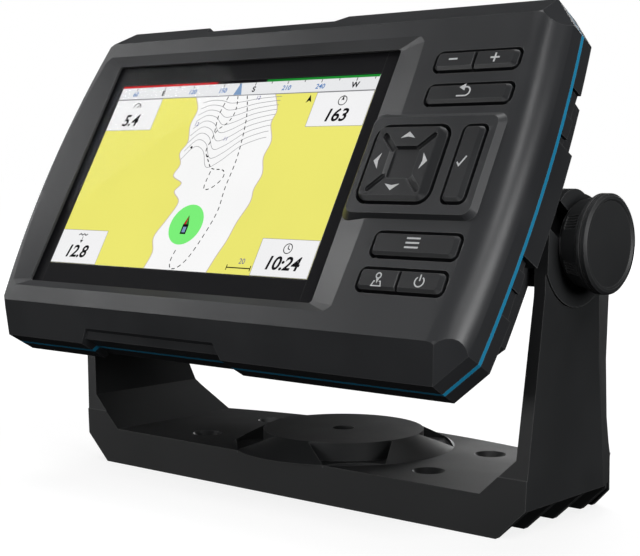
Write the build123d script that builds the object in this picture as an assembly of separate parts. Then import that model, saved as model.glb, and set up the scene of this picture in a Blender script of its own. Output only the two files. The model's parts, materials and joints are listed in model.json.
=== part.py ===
from build123d import *
import math
import os

# A five-inch chartplotter on its bail bracket. Millimetres, +Z up, and the display looks along -Y.
# The origin is the middle of the bracket's base, on the plane that it is screwed to.
#
# The head is drawn in its own frame and then placed: u runs to the right, v up the face and n out of
# the face. u = v = 0 is the middle of the picture, and n = 0 is the front of the glass.

# ---------------------------------------------------------------- where the head sits
TILT = 29.6                       # how far the face leans back from upright, degrees
PIVOT_Y = -12.5                   # the axis of the side knobs
PIVOT_Z = 79.3
PIVOT_V = -0.6                    # the same axis in the head's frame
PIVOT_N = -35.85
HEAD_MID_U = 17.5                 # the head's middle: the keys make it longer to the right
TILT_COS = math.cos(math.radians(TILT))
TILT_SIN = math.sin(math.radians(TILT))
HEAD = Plane(
    origin=(
        -HEAD_MID_U,
        PIVOT_Y + PIVOT_N * TILT_COS - PIVOT_V * TILT_SIN,
        PIVOT_Z - PIVOT_N * TILT_SIN - PIVOT_V * TILT_COS,
    ),
    x_dir=(1, 0, 0),
    z_dir=(0, -TILT_COS, TILT_SIN),
)

# ---------------------------------------------------------------- the head's outline
# left, right, top, bottom, the corner cut along u and v, and how far each side bows out
RIDGE = (-74.1, 108.3, 57.3, -56.2, 7.6, 8.9, 1.0, 2.6)
FACE = (-66.7, 100.3, 48.2, -47.2, 1.3, 1.1, 4.2, 2.4)
FACE_INSIDE = (-65.0, 102.6, 46.0, -45.0, 1.3, 1.1, 3.2, 1.4)
BODY_FRONT = (-67.5, 102.5, 49.4, -48.4, 12.0, 12.0, 1.3, 1.3)
BODY_WAIST = (-66.8, 101.8, 48.6, -47.6, 12.0, 12.0, 1.2, 1.2)
BODY_BACK = (-50.5, 85.5, 36.0, -34.0, 10.0, 10.0, 0.6, 0.6)

FACE_N = 2.0                      # the bezel's face stands this far in front of the glass
RIDGE_N = -5.6                    # where the sloped rim meets the straight rim
ROUND_STEPS = 8                   # strips in the rounded right end
SEAL_FRONT_N = -10.4              # front and back of the coloured seal between the shells
SEAL_BACK_N = -11.7
BAND_BACK_N = -16.3               # back of the rear shell's flange
LUG_BACK_N = -19.2                # the flange is deeper beside the pivot
LUG_HALF = 16.5
WAIST_N = -29.0
BACK_N = -46.0                    # the flat back
INSIDE_N = -0.6                   # inside of the bezel's face
WALL = 2.6

NOTCH_DEPTH = 1.5                 # shallow step in the top and bottom rims
NOTCH_START = 0.58                # where it starts, as a share of the way down the slope
NOTCH_LEFT = (-28.0, -31.0)       # u of its ends, where it starts and at the ridge
NOTCH_RIGHT = (25.7, 28.0)
END_NOTCH = (16.5, 33.0)          # shallow steps in the flange's two ends, either side of the middle
END_TOOTH = (19.7, 25.3)          # a low tooth in each of them
END_TOOTH_DEPTH = 0.6

# ---------------------------------------------------------------- the display
WINDOW = (-59.0, 59.0, -39.4, 39.6)          # left, right, bottom, top of the glass that shows
WINDOW_RADIUS = 1.2
LENS = (-62.3, 61.3, -41.5, 42.6)
LENS_RADIUS = 2.8
LENS_THICK = 0.8
ADHESIVE_THICK = 0.3
LIP = 0.5
WINDOW_EDGE = (-59.0, 59.0, 39.6, -39.4, 0.7, 0.7, 0.0, 0.0)  # foot and top of the sloped frame
SURROUND = (-65.7, 67.2, 42.9, -41.9, 1.9, 1.9, 4.4, 1.0)     # round the glass
LCD = (-60.35, 60.35, -38.0, 38.0)
LCD_FRONT_N = -1.1
LCD_BACK_N = -4.6
TRAY_WALL = 1.2
TRAY_GAP = 0.3                    # round the display module in its tray
TRAY_BACK_N = -6.2
TRAY_WINDOW = (-40.0, 40.0, -24.0, 24.0)
FLEX_SLOT = (-10.0, 10.0, -32.0, -28.0)
TRAY_TABS = [(u, v) for u in (-50.0, 40.0) for v in (45.2, -44.2)]

# ---------------------------------------------------------------- the keys
KEY_ROWS = {
    # name: opening left, right, bottom, top, then the side that another key shares
    "key_zoom_out": (73.1, 87.45, 30.0, 37.2, "right"),
    "key_zoom_in": (86.15, 101.3, 30.0, 37.2, "left"),
    "key_back": (73.9, 102.2, 19.5, 26.8, ""),
    "key_menu": (73.3, 101.8, -25.9, -17.7, ""),
    "key_mark": (72.5, 86.95, -35.8, -28.2, "right"),
    "key_power": (85.65, 101.1, -35.8, -28.2, "left"),
    "key_enter": (91.2, 99.55, -10.65, 13.2, ""),
}
KEY_RADIUS = 2.4
KEY_GAP = 0.95                    # round a key in its opening
KEY_TOP_RADIUS = 0.75             # the corners of its top are sharper than those of its foot
KEY_SLOPES = (0.75, 1.45, 0.9, 0.35)         # how far its left, right, bottom and top lean in
KEY_SHARED_SLOPE = 0.25
KEY_PROUD = 0.85
KEY_SIDE_LEDGE = 0.2              # straight side above the face before the slopes begin
KEY_FLANGE = 0.8                  # how far the flange reaches under the bezel
KEY_FLANGE_TOP_N = INSIDE_N - 0.15
KEY_FLANGE_BACK_N = -1.6
KEY_POST_RADIUS = 1.8
KEY_POST_BACK_N = -6.3

PAD_BASE = (58.2, 104.4, -15.3, 18.8)        # raised pad round the arrow keys, at n = 0.5
PAD_TOP = (61.3, 101.6, -13.4, 15.7)
PAD_BASE_N = 0.5
PAD_N = 3.5
PAD_BASE_RADIUS = 3.6
PAD_RADIUS = 2.6

DPAD = (63.1, 88.3, -10.95, 13.4)
DPAD_RADIUS = 4.4
DPAD_TOP_RADIUS = 1.0
DPAD_SLOPES = (1.0, 2.2, 1.3, 0.5)
DPAD_GAP = 1.0
DPAD_CENTRE = ((DPAD[0] + DPAD[1]) / 2, (DPAD[2] + DPAD[3]) / 2)
DPAD_TOP_N = 4.6
DPAD_DISH = 8.6                   # the sunken square between the arrows
DPAD_DISH_DEPTH = 1.1
DPAD_DISH_SLOPE = 0.6
DPAD_GROOVE = 1.9
DPAD_GROOVE_REACH = 11.3          # from the middle to the groove's round end
DPAD_FLANGE_TOP_N = -1.8
DPAD_FLANGE_BACK_N = -2.6
DPAD_ROCK_N = -4.0                # the arrow key rocks about this depth
DPAD_STEM_RADIUS = 2.5
DPAD_POST_REACH = 7.5
DPAD_POST_RADIUS = 1.2

SEAL_MAT = (63.6, 102.4, -37.6, 38.8)
SEAL_MAT_FRONT_N = -4.0
SEAL_MAT_BACK_N = -4.8
KEY_BOARD = (63.5, 102.4, -43.4, 44.4)
KEY_BOARD_FRONT_N = -8.0
KEY_BOARD_BACK_N = -9.2
KEY_BOARD_POSTS = [(67.0, 25.0), (67.0, -23.5), (87.0, 41.8), (87.0, -40.6)]
SWITCH_TOP_N = -7.2

# ---------------------------------------------------------------- inside the rear shell
MAIN_BOARD = (-60.0, 72.0, -41.0, 42.0)
MAIN_BOARD_FRONT_N = -12.6
MAIN_BOARD_BACK_N = -14.2
MAIN_BOARD_POSTS = [(u, v) for u in (-54.0, 64.0) for v in (38.0, -37.0)]
SHELL_SCREWS = [(u, v) for u in (-60.0, -8.0, 44.0, 95.0) for v in (52.2, -51.1)]
POST_RADIUS = 3.4
SMALL_POST_RADIUS = 2.4
SCREW_RADIUS = 1.1
SCREW_GAP = 0.06
SCREW_HEAD_RADIUS = 2.3
SCREW_HEAD = 1.6
SCREW_SLOT = (2.6, 0.6, 1.2)
SHELL_SCREW_TIP_N = -5.6
SHELL_SCREW_HOLE_N = -5.0

# name: u, v, outside radius, inside radius, how many pins, and the radius that the pins stand on
SOCKETS = {
    "power": (34.0, -14.0, 8.0, 6.8, 4, 3.4),
    "sonar": (4.0, -14.0, 9.4, 8.2, 8, 5.2),
}
SOCKET_FRONT_N = -37.0
SOCKET_FLOOR_N = -39.0
SOCKET_BACK_N = -51.0
PIN_RADIUS = 0.6
PIN_BACK_N = -44.6
VENT = (62.0, 18.0)
VENT_RADIUS = 2.5

# ---------------------------------------------------------------- pivot and knobs
BOSS_RADIUS = 12.5
BOSS_ROOT_X = 68.0
BOSS_FACE_X = 87.0
INSERT_RADIUS = 5.5
INSERT_X = 73.5
STUD_RADIUS = 4.0
STUD_GAP = 0.06
STUD_INNER_X = 75.0
WASHER_RADIUS = 10.0
PLAY = 0.05                       # between the faces that slide on each other
KNOB_FACE_X = 101.8
KNOB_RIM_RADIUS = 13.4
KNOB_NECK_RADIUS = 11.6
KNOB_WAIST_RADIUS = 12.7
KNOB_RIM = 3.2                    # depth of the rim
KNOB_LINE = 0.35                  # fine lines turned into the rim and under it
KNOB_DISH = 0.5
KNOB_CORE = 2.4                   # plastic left in front of the stud
KNOB_GRIP_GROUPS = 6
KNOB_GRIP_GROOVES = 5
KNOB_GRIP_STEP = 3.8              # degrees between the grooves of a group
KNOB_GRIP_RADIUS = 0.32
KNOB_WASHER = 1.0

# ---------------------------------------------------------------- bracket
FOOT_HALF = 78.3                  # flat part of the underside
ARM_OUT_LOW, ARM_OUT_MID, ARM_OUT_TOP = 87.6, 88.0, 91.4
ARM_MID_Z, ARM_STRAIGHT_Z = 17.0, 66.0
ARM_IN_LOW, ARM_IN_TOP = 84.3, 88.0
ARM_PAD_X = 92.0                  # raised round pad under the knob
ARM_PAD_RADIUS = 17.3
BASE_TOP = 11.6
BASE_TOP_HALF = 73.0
BASE_CORNER_Z = 22.0
CHAMFER_Z = 8.7
FRONT_Y = -30.6
REAR_MID_Y = 34.6
REAR_END_Y = 18.8
# the arm seen from the side, as y and z: its front edge, its round top in two arcs, and its rear edge
ARM_FRONT = [(-30.3, 17.0), (-27.5, 84.0), (-22.4, 90.4)]
ARM_TOP = [(-17.0, 93.6), (-9.9, 92.4)]
ARM_SHOULDER = [(3.0, 85.5), (9.6, 72.0)]
ARM_REAR = [(10.2, 62.0), (12.2, 45.0), (14.5, 28.0), (18.0, 20.0), (23.0, 11.6)]
# the long flat along each arm's outer rear edge: z, then x and y of its front edge and of its rear edge
ARM_FLAT = [
    (-1.0, (87.8, 9.5), (84.4, 19.5)),
    (20.0, (88.2, 8.4), (84.9, 17.8)),
    (45.0, (90.0, 2.6), (86.7, 12.6)),
    (66.0, (91.5, -0.7), (88.6, 10.6)),
    (100.0, (91.5, -3.5), (88.6, 5.0)),
]
SLOT_WIDTH = 8.6
SLOT_REACH = 26.0
SLOT_RISE = 32.7                  # the slot climbs forwards at this angle, degrees
RIB_PITCH = 15.1
RIB = 2.0
CAVITIES = 4
CAVITY_DEPTH = 8.4
SKIRT_RADIUS = 35.3
DISC_RADIUS = 25.5
DISC_TOP = 16.6
POCKET = (22.5, 12.8, 34.0, 9.3)  # radius and half width where it starts and where it ends
POCKET_FLOOR = 11.0
CENTRE_HOLE_RADIUS = 3.5
CENTRE_BOSS_RADIUS = 9.0
BASE_HOLE_X, BASE_HOLE_Y = 45.3, 15.85
BASE_HOLE_RADIUS = 2.5
BASE_SINK_RADIUS = 4.8
BASE_BOSS_RADIUS = 7.0


# ---------------------------------------------------------------- shapes used throughout
def outline(spec, n=0.0, inset=0.0, right_cut=None):
    """Eight-sided face with cut corners and bowed ends, at height n."""
    left, right, top, bottom, cut_u, cut_v, bow_left, bow_right = spec
    left, right, top, bottom = left + inset, right - inset, top - inset, bottom + inset
    cut_u, cut_v = cut_u - 0.5 * inset, cut_v - 0.5 * inset
    right_u, right_v = right_cut or (cut_u, cut_v)
    middle = (top + bottom) / 2
    edges = [
        Line((left + cut_u, top), (right - right_u, top)),
        Line((right - right_u, top), (right, top - right_v)),
        bowed(right, top - right_v, bottom + right_v, bow_right, middle),
        Line((right, bottom + right_v), (right - right_u, bottom)),
        Line((right - right_u, bottom), (left + cut_u, bottom)),
        Line((left + cut_u, bottom), (left, bottom + cut_v)),
        bowed(left, bottom + cut_v, top - cut_v, -bow_left, middle),
        Line((left, top - cut_v), (left + cut_u, top)),
    ]
    return Pos(0, 0, n) * Face(Wire(edges))


def bowed(side, start, end, bow, middle):
    """One end of an outline: an arc that stands out by bow at its middle."""
    if abs(bow) < 0.01:
        return Line((side, start), (side, end))
    return ThreePointArc((side, start), (side + bow, middle), (side, end))


def slab(face, low, high):
    """A flat face made into a slab from low to high."""
    return extrude(Pos(0, 0, low) * face, amount=high - low, dir=(0, 0, 1))


def panel(spec, radius, n=0.0, grow=0.0):
    """Rounded rectangle from left, right, bottom, top."""
    left, right, bottom, top = spec
    width, height = right - left + 2 * grow, top - bottom + 2 * grow
    middle = Pos((left + right) / 2, (bottom + top) / 2, n)
    return middle * RectangleRounded(width, height, radius)


def block(spec, low, high, radius=0.8, grow=0.0):
    """Rounded rectangular slab."""
    return slab(panel(spec, radius, 0.0, grow), low, high)


def post(u, v, radius, low, high):
    """Round post along n."""
    return Pos(u, v, (low + high) / 2) * Cylinder(radius, high - low)


def posts(places, radius, low, high):
    """The same post at each place."""
    return [post(u, v, radius, low, high) for u, v in places]


def rod_x(radius, x0, x1, y=PIVOT_Y, z=PIVOT_Z):
    """Round bar along X, by default on the pivot axis."""
    return Pos((x0 + x1) / 2, y, z) * Rot(0, 90, 0) * Cylinder(radius, x1 - x0)


def head_rod(radius, u0, u1):
    """Round bar on the pivot axis, in the head's frame."""
    return rod_x(radius, u0, u1, PIVOT_V, PIVOT_N)


def cut_all(shape, tools):
    """shape with every tool cut out of it."""
    for tool in tools:
        shape = shape - tool
    return shape


def screws(places, head_n, tip_n):
    """Screws whose heads face the back, from head_n to tip_n."""
    made = []
    for u, v in places:
        shank = post(u, v, SCREW_RADIUS, head_n, tip_n)
        head = post(u, v, SCREW_HEAD_RADIUS, head_n - SCREW_HEAD, head_n)
        slot = Pos(u, v, head_n - SCREW_HEAD) * Box(*SCREW_SLOT)
        slot += Pos(u, v, head_n - SCREW_HEAD) * Rot(0, 0, 90) * Box(*SCREW_SLOT)
        made.append(shank + head - slot)
    return made


# ---------------------------------------------------------------- head: the two shells
def rim_section(share):
    """Outline of the sloped rim, with share 0 at the ridge and 1 at the face."""
    turn = math.radians(90 * share)
    down = 1 - math.sin(turn)
    n = FACE_N - down * (FACE_N - RIDGE_N)
    spec = [face + down * (ridge - face) for face, ridge in zip(FACE, RIDGE)]
    spec[1] = FACE[1] + math.cos(turn) * (RIDGE[1] - FACE[1])
    # the right-hand corner facets stay flat while the end curves in
    lean_u, lean_v, lean_n = 0.7607, 0.6493, 0.5987
    level = (
        lean_u * (RIDGE[1] - RIDGE[4]) + lean_v * RIDGE[2] - lean_n * (n - RIDGE_N)
    )
    cut_u = max(0.3, spec[1] - (level - lean_v * spec[2]) / lean_u)
    cut_v = max(0.3, spec[2] - (level - lean_u * spec[1]) / lean_v)
    return outline(spec, n, 0.0, (cut_u, cut_v))


def rim_notch(side, outer_v):
    """Cutter for the shallow step in the top (side 1) or bottom (side -1) rim."""
    slope_v = outer_v - (RIDGE[2] - FACE[2])
    rise = (FACE_N - RIDGE_N) / (outer_v - slope_v)
    start_v = slope_v + NOTCH_START * (outer_v - slope_v)
    start_n = FACE_N - (start_v - slope_v) * rise
    inner_v = outer_v - NOTCH_DEPTH
    step_v, step_n = start_v + 0.4, start_n - 0.9 * NOTCH_DEPTH
    points = [
        (start_v, start_n + 0.02),
        (step_v, step_n),
        (inner_v, step_n - (inner_v - step_v) * rise),
        (inner_v, BAND_BACK_N - 1.0),
        (outer_v + 4.0, BAND_BACK_N - 1.0),
        (outer_v + 4.0, start_n + 3.0),
        (start_v, start_n + 3.0),
    ]

    def section(near_u, far_u):
        """Closed section whose u runs from near_u at the notch's start to far_u at the ridge."""
        run = (far_u - near_u) / (outer_v - start_v)
        corners = [Vector(near_u + (v - start_v) * run, side * v, n) for v, n in points]
        return Face(Wire.make_polygon(corners, close=True))

    return loft([section(*NOTCH_LEFT), section(*NOTCH_RIGHT)], ruled=True)


def rim_notches():
    return [rim_notch(1, RIDGE[2]), rim_notch(-1, -RIDGE[3])]


def key_opening(spec):
    face = key_top(spec, 0.0, [0.0] * 4, KEY_RADIUS, spec[4])
    return slab(face, INSIDE_N - 6.0, PAD_N + 1.0)


def front_bezel():
    """Front shell: sloped rim, framed window, raised pad and key openings."""
    outer = slab(outline(RIDGE), SEAL_FRONT_N, RIDGE_N)
    rim = [rim_section(step / ROUND_STEPS) for step in range(ROUND_STEPS + 1)]
    for low, high in zip(rim, rim[1:]):
        outer += loft([low, high], ruled=True)
    surround = loft(
        [outline(WINDOW_EDGE, ADHESIVE_THICK + LIP), outline(SURROUND, FACE_N + 0.01)],
        ruled=True,
    )
    shell = outer - surround
    pad = loft([panel(PAD_BASE, PAD_BASE_RADIUS, PAD_BASE_N), panel(PAD_TOP, PAD_RADIUS, PAD_N)])
    shell += pad
    hollow = loft(
        [outline(RIDGE, RIDGE_N - 1.0, WALL), outline(FACE_INSIDE, INSIDE_N)], ruled=True
    )
    hollow += slab(outline(RIDGE, 0.0, WALL), SEAL_FRONT_N - 1.0, RIDGE_N - 1.0)
    shell -= hollow
    bosses = posts(SHELL_SCREWS, POST_RADIUS, SEAL_FRONT_N, INSIDE_N)
    bosses += posts(TRAY_TABS, SMALL_POST_RADIUS, LCD_BACK_N, INSIDE_N + 0.2)
    bosses += posts(KEY_BOARD_POSTS, SMALL_POST_RADIUS, KEY_BOARD_FRONT_N, INSIDE_N + 0.2)
    for boss in bosses:
        shell += boss & outer
    cuts = [
        block(WINDOW, -2.0, PAD_N, WINDOW_RADIUS),
        block(LENS, -2.0, ADHESIVE_THICK, LENS_RADIUS, 0.2),
        block(DPAD, INSIDE_N - 6.0, PAD_N + 1.0, DPAD_RADIUS),
    ]
    cuts += [key_opening(spec) for spec in KEY_ROWS.values()]
    hole = SCREW_RADIUS + SCREW_GAP
    cuts += posts(SHELL_SCREWS, hole, SEAL_FRONT_N - 1.0, SHELL_SCREW_HOLE_N)
    cuts += posts(TRAY_TABS, hole, LCD_BACK_N - 1.0, INSIDE_N - 0.8)
    cuts += posts(KEY_BOARD_POSTS, hole, KEY_BOARD_FRONT_N - 1.0, INSIDE_N - 1.8)
    return cut_all(shell, cuts + rim_notches())


def housing_gasket():
    """The coloured seal that shows as a thin line all round the head."""
    ring = slab(outline(RIDGE), SEAL_BACK_N, SEAL_FRONT_N)
    ring -= slab(outline(BODY_FRONT, 0.0, WALL), SEAL_BACK_N - 1.0, SEAL_FRONT_N + 1.0)
    cuts = posts(SHELL_SCREWS, SCREW_RADIUS + 0.5, SEAL_BACK_N - 1.0, SEAL_FRONT_N + 1.0)
    return cut_all(ring, cuts + rim_notches())


def body_stack(inset, front_n, back_n):
    """The tapering rear body as a solid."""
    body = slab(outline(BODY_FRONT, 0.0, inset), BAND_BACK_N, front_n)
    body += loft(
        [outline(BODY_FRONT, BAND_BACK_N, inset), outline(BODY_WAIST, WAIST_N, inset)], ruled=True
    )
    body += loft(
        [outline(BODY_WAIST, WAIST_N, inset), outline(BODY_BACK, back_n, inset)], ruled=True
    )
    return body


def end_block(side, places, inner, low_n, high_n):
    """Block outside the head's left (-1) or right (1) end, from inner outwards, between two v."""
    width = 12.0
    low_v, high_v = places
    middle = Pos(inner + side * width / 2, (low_v + high_v) / 2, (low_n + high_n) / 2)
    return middle * Box(width, high_v - low_v, high_n - low_n)


def end_notches():
    """Shallow steps in the flange's two ends, each with a low tooth left standing."""
    made = []
    low_n, high_n = BAND_BACK_N - 1.0, SEAL_BACK_N
    for side, edge, bow in ((-1, RIDGE[0], RIDGE[6]), (1, RIDGE[1], RIDGE[7])):
        surface = edge + side * bow * 0.73
        for half in (-1, 1):
            notch = sorted(half * v for v in END_NOTCH)
            tooth = sorted(half * v for v in END_TOOTH)
            cutter = end_block(side, notch, surface - side * NOTCH_DEPTH, low_n, high_n)
            tooth_u = surface - side * (NOTCH_DEPTH + 1.0)
            standing = end_block(side, tooth, tooth_u, low_n - 1.0, high_n + 1.0)
            standing -= end_block(
                side, tooth, surface - side * END_TOOTH_DEPTH, low_n - 1.0, high_n + 1.0
            )
            made.append(cutter - standing)
    return made


def end_lugs():
    """The flange is deeper beside the pivot, where it stiffens the bosses."""
    both = []
    for side, root in ((-1, BODY_FRONT[0] + WALL), (1, BODY_FRONT[1] - WALL)):
        reach = end_block(side, (-LUG_HALF, LUG_HALF), root, LUG_BACK_N, BAND_BACK_N)
        both.append(slab(outline(RIDGE), LUG_BACK_N, BAND_BACK_N) & reach)
    return both


def rear_cover():
    """Rear shell: flange, tapering body, pivot bosses and the places for what it carries."""
    flange = cut_all(slab(outline(RIDGE), BAND_BACK_N, SEAL_BACK_N), end_notches())
    solid = flange + body_stack(0.0, SEAL_BACK_N, BACK_N)
    for lug in end_lugs():
        solid += lug
    shell = solid - body_stack(WALL, SEAL_BACK_N + 1.0, BACK_N + WALL)
    for side in (-1, 1):
        low, high = sorted((side * BOSS_ROOT_X, side * BOSS_FACE_X))
        shell += head_rod(BOSS_RADIUS, HEAD_MID_U + low, HEAD_MID_U + high)
    for boss in posts(MAIN_BOARD_POSTS, POST_RADIUS - 0.4, BACK_N, MAIN_BOARD_BACK_N):
        shell += boss & solid
    cuts = posts(SHELL_SCREWS, SCREW_RADIUS + 0.5, BAND_BACK_N - 1.0, SEAL_BACK_N + 1.0)
    cuts += posts(SHELL_SCREWS, SCREW_HEAD_RADIUS + 0.3, BAND_BACK_N - 2.0, BAND_BACK_N + SCREW_HEAD)
    cuts += posts(MAIN_BOARD_POSTS, SCREW_RADIUS + SCREW_GAP, MAIN_BOARD_BACK_N - 8.0, -12.0)
    for side in (-1, 1):
        low, high = sorted((side * INSERT_X, side * (BOSS_FACE_X + 1.0)))
        cuts.append(head_rod(INSERT_RADIUS, HEAD_MID_U + low, HEAD_MID_U + high))
    for u, v, radius, *_ in SOCKETS.values():
        cuts.append(post(u, v, radius + SCREW_GAP, BACK_N - 1.0, BACK_N + WALL + 1.0))
    cuts.append(post(*VENT, VENT_RADIUS, BACK_N - 1.0, BACK_N + WALL + 1.0))
    return cut_all(shell, cuts + rim_notches())


def housing_screws():
    """Screws that hold the two shells together, driven from behind."""
    return screws(SHELL_SCREWS, BAND_BACK_N + SCREW_HEAD, SHELL_SCREW_TIP_N)


# ---------------------------------------------------------------- head: the display
def display_lens():
    return block(LENS, -LENS_THICK, 0.0, LENS_RADIUS - 0.2)


def lens_adhesive():
    """Frame of adhesive between the glass and the bezel."""
    return block(LENS, 0.0, ADHESIVE_THICK, LENS_RADIUS - 0.2) - block(
        WINDOW, -1.0, ADHESIVE_THICK + 1.0, WINDOW_RADIUS
    )


def lcd_panel():
    """Display module: glass and back-light in one slab, with a step for the driver ledge."""
    module = block(LCD, LCD_BACK_N, LCD_FRONT_N, 0.8)
    ledge = (LCD[0] - 1.0, LCD[1] + 1.0, LCD[2] - 1.0, LCD[2] + 2.6)
    return module - block(ledge, LCD_FRONT_N - 0.7, LCD_FRONT_N + 1.0, 0.5)


def lcd_frame():
    """Metal tray that holds the display module, with four screw tabs."""
    tray = block(LCD, TRAY_BACK_N, -LENS_THICK - 0.1, 1.5, TRAY_GAP + TRAY_WALL)
    for u, v in TRAY_TABS:
        middle_v = v - math.copysign(2.0, v)
        tray += Pos(u, middle_v, (TRAY_BACK_N + LCD_BACK_N) / 2) * Box(
            7.0, 9.0, LCD_BACK_N - TRAY_BACK_N
        )
    tray -= block(LCD, LCD_BACK_N, 1.0, 1.0, TRAY_GAP)
    tray -= block(TRAY_WINDOW, TRAY_BACK_N - 1.0, LCD_BACK_N + 1.0, 3.0)
    tray -= block(FLEX_SLOT, TRAY_BACK_N - 1.0, LCD_BACK_N + 1.0, 1.0)
    return cut_all(tray, posts(TRAY_TABS, SCREW_RADIUS + 0.3, TRAY_BACK_N - 1.0, LCD_BACK_N + 1.0))


def lcd_frame_screws():
    return screws(TRAY_TABS, TRAY_BACK_N, INSIDE_N - 1.2)


def display_flex():
    """Ribbon from the display module to the main board."""
    return slab(panel((-8.0, 8.0, -30.15, -29.85), 0.1), MAIN_BOARD_FRONT_N, LCD_BACK_N)


# ---------------------------------------------------------------- head: the keys
def key_top(spec, n, insets, radius, shared):
    """Outline of a key at height n, set in by (left, right, bottom, top)."""
    left, right, bottom, top = (spec[0] + insets[0], spec[1] - insets[1],
                                spec[2] + insets[2], spec[3] - insets[3])
    face = Pos((left + right) / 2, (bottom + top) / 2, 0) * Rectangle(right - left, top - bottom)
    corners = face.vertices()
    if shared == "right":
        corners = corners.group_by(Axis.X)[0]
    if shared == "left":
        corners = corners.group_by(Axis.X)[-1]
    most = 0.45 * min(right - left, top - bottom)
    return Pos(0, 0, n) * fillet(corners, min(radius, most))


def sloped_cap(hole, foot_n, surface_n, top_n, gap, slopes, radii, shared):
    """Straight sides from foot_n to just above the surface, then four slopes up to a smaller top."""
    foot_radius, top_radius = radii
    straight = [gap] * 4
    leaning = [gap + slope for slope in slopes]
    ledge_n = surface_n + KEY_SIDE_LEDGE
    cap = slab(key_top(hole, 0.0, straight, foot_radius, shared), foot_n, ledge_n)
    slope_foot = key_top(hole, ledge_n, straight, foot_radius, shared)
    return cap + loft([slope_foot, key_top(hole, top_n, leaning, top_radius, shared)], ruled=True)


def key(spec, top_n, surface_n, post_places):
    """One key: cap with a sloped lower edge and right end, hidden flange, and its plungers."""
    hole, shared = spec[:4], spec[4]
    slopes = list(KEY_SLOPES)
    reach = [-KEY_FLANGE] * 4
    if shared:
        side = {"left": 0, "right": 1}[shared]
        slopes[side] = KEY_SHARED_SLOPE
        reach[side] = KEY_GAP
    radius = KEY_RADIUS - KEY_GAP
    radii = (radius, KEY_TOP_RADIUS)
    cap = sloped_cap(hole, KEY_FLANGE_BACK_N, surface_n, top_n, KEY_GAP, slopes, radii, shared)
    flange = key_top(hole, 0.0, reach, radius + KEY_FLANGE, shared)
    cap += slab(flange, KEY_FLANGE_BACK_N, KEY_FLANGE_TOP_N)
    for u, v in post_places:
        cap += post(u, v, KEY_POST_RADIUS, KEY_POST_BACK_N, KEY_FLANGE_BACK_N)
    return cap


def key_middle(spec):
    return ((spec[0] + spec[1]) / 2, (spec[2] + spec[3]) / 2)


def dpad_posts():
    u, v = DPAD_CENTRE
    reach = DPAD_POST_REACH
    return [(u + reach, v), (u - reach, v), (u, v + reach), (u, v - reach)]


def dpad():
    """Four-way rocker key: sloped edges, a sunken middle and four diagonal grooves."""
    radius = DPAD_RADIUS - DPAD_GAP
    radii = (radius, DPAD_TOP_RADIUS)
    cap = sloped_cap(
        DPAD, DPAD_FLANGE_BACK_N, PAD_N, DPAD_TOP_N, DPAD_GAP, DPAD_SLOPES, radii, ""
    )
    flange = key_top(DPAD, 0.0, [-KEY_FLANGE] * 4, radius + KEY_FLANGE, "")
    cap += slab(flange, DPAD_FLANGE_BACK_N, DPAD_FLANGE_TOP_N)
    middle = Pos(*DPAD_CENTRE)
    floor_n = DPAD_TOP_N - DPAD_DISH_DEPTH
    rim = DPAD_DISH + 2 * DPAD_DISH_SLOPE
    dish = loft(
        [
            Pos(0, 0, floor_n) * RectangleRounded(DPAD_DISH, DPAD_DISH, 1.0),
            Pos(0, 0, DPAD_TOP_N + 0.01) * RectangleRounded(rim, rim, 1.6),
        ],
        ruled=True,
    )
    cap -= middle * dish
    for turn in (45, 135, 225, 315):
        groove = middle * Pos(0, 0, floor_n + 0.5 * DPAD_DISH_DEPTH + 0.2) * Rot(0, 0, turn)
        bar = Pos(DPAD_GROOVE_REACH / 2, 0, 0) * Box(DPAD_GROOVE_REACH, DPAD_GROOVE, DPAD_DISH_DEPTH)
        end = Pos(DPAD_GROOVE_REACH, 0, 0) * Cylinder(DPAD_GROOVE / 2, DPAD_DISH_DEPTH)
        cap -= groove * bar
        cap -= groove * end
    cap += post(*DPAD_CENTRE, DPAD_STEM_RADIUS, DPAD_ROCK_N + 0.15, DPAD_FLANGE_BACK_N)
    for place in dpad_posts():
        cap += post(*place, DPAD_POST_RADIUS, KEY_POST_BACK_N, DPAD_FLANGE_BACK_N)
    return cap


def dpad_pivot():
    """Centre post that the arrow key rocks on."""
    u, v = DPAD_CENTRE
    return post(u, v, DPAD_STEM_RADIUS - 0.3, KEY_BOARD_FRONT_N + 0.2, DPAD_ROCK_N - 0.15)


def key_places(name, spec):
    """Where a key's plungers stand: two under the tall key, one under the others."""
    u, v = key_middle(spec)
    if name == "key_enter":
        return [(u, v + 6.0), (u, v - 6.0)]
    return [(u, v)]


def all_key_posts():
    found = []
    for name, spec in KEY_ROWS.items():
        found += key_places(name, spec)
    return found


def keypad_seal():
    """Rubber mat behind the keys, standing on the key board by a skirt, with a collar per plunger."""
    mat = block(SEAL_MAT, SEAL_MAT_BACK_N, SEAL_MAT_FRONT_N, 2.0)
    skirt = block(SEAL_MAT, KEY_BOARD_FRONT_N, SEAL_MAT_BACK_N, 2.0)
    mat += skirt - block(SEAL_MAT, KEY_BOARD_FRONT_N - 1.0, SEAL_MAT_BACK_N + 1.0, 1.0, -1.6)
    cuts = posts(all_key_posts(), KEY_POST_RADIUS + 0.35, KEY_BOARD_FRONT_N, 0.0)
    cuts += posts(dpad_posts(), DPAD_POST_RADIUS + 0.8, KEY_BOARD_FRONT_N, 0.0)
    cuts.append(post(*DPAD_CENTRE, DPAD_STEM_RADIUS + 0.6, KEY_BOARD_FRONT_N, 0.0))
    cuts += posts(KEY_BOARD_POSTS[:2], SMALL_POST_RADIUS + 0.3, KEY_BOARD_FRONT_N - 1.0, 0.0)
    return cut_all(mat, cuts)


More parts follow.
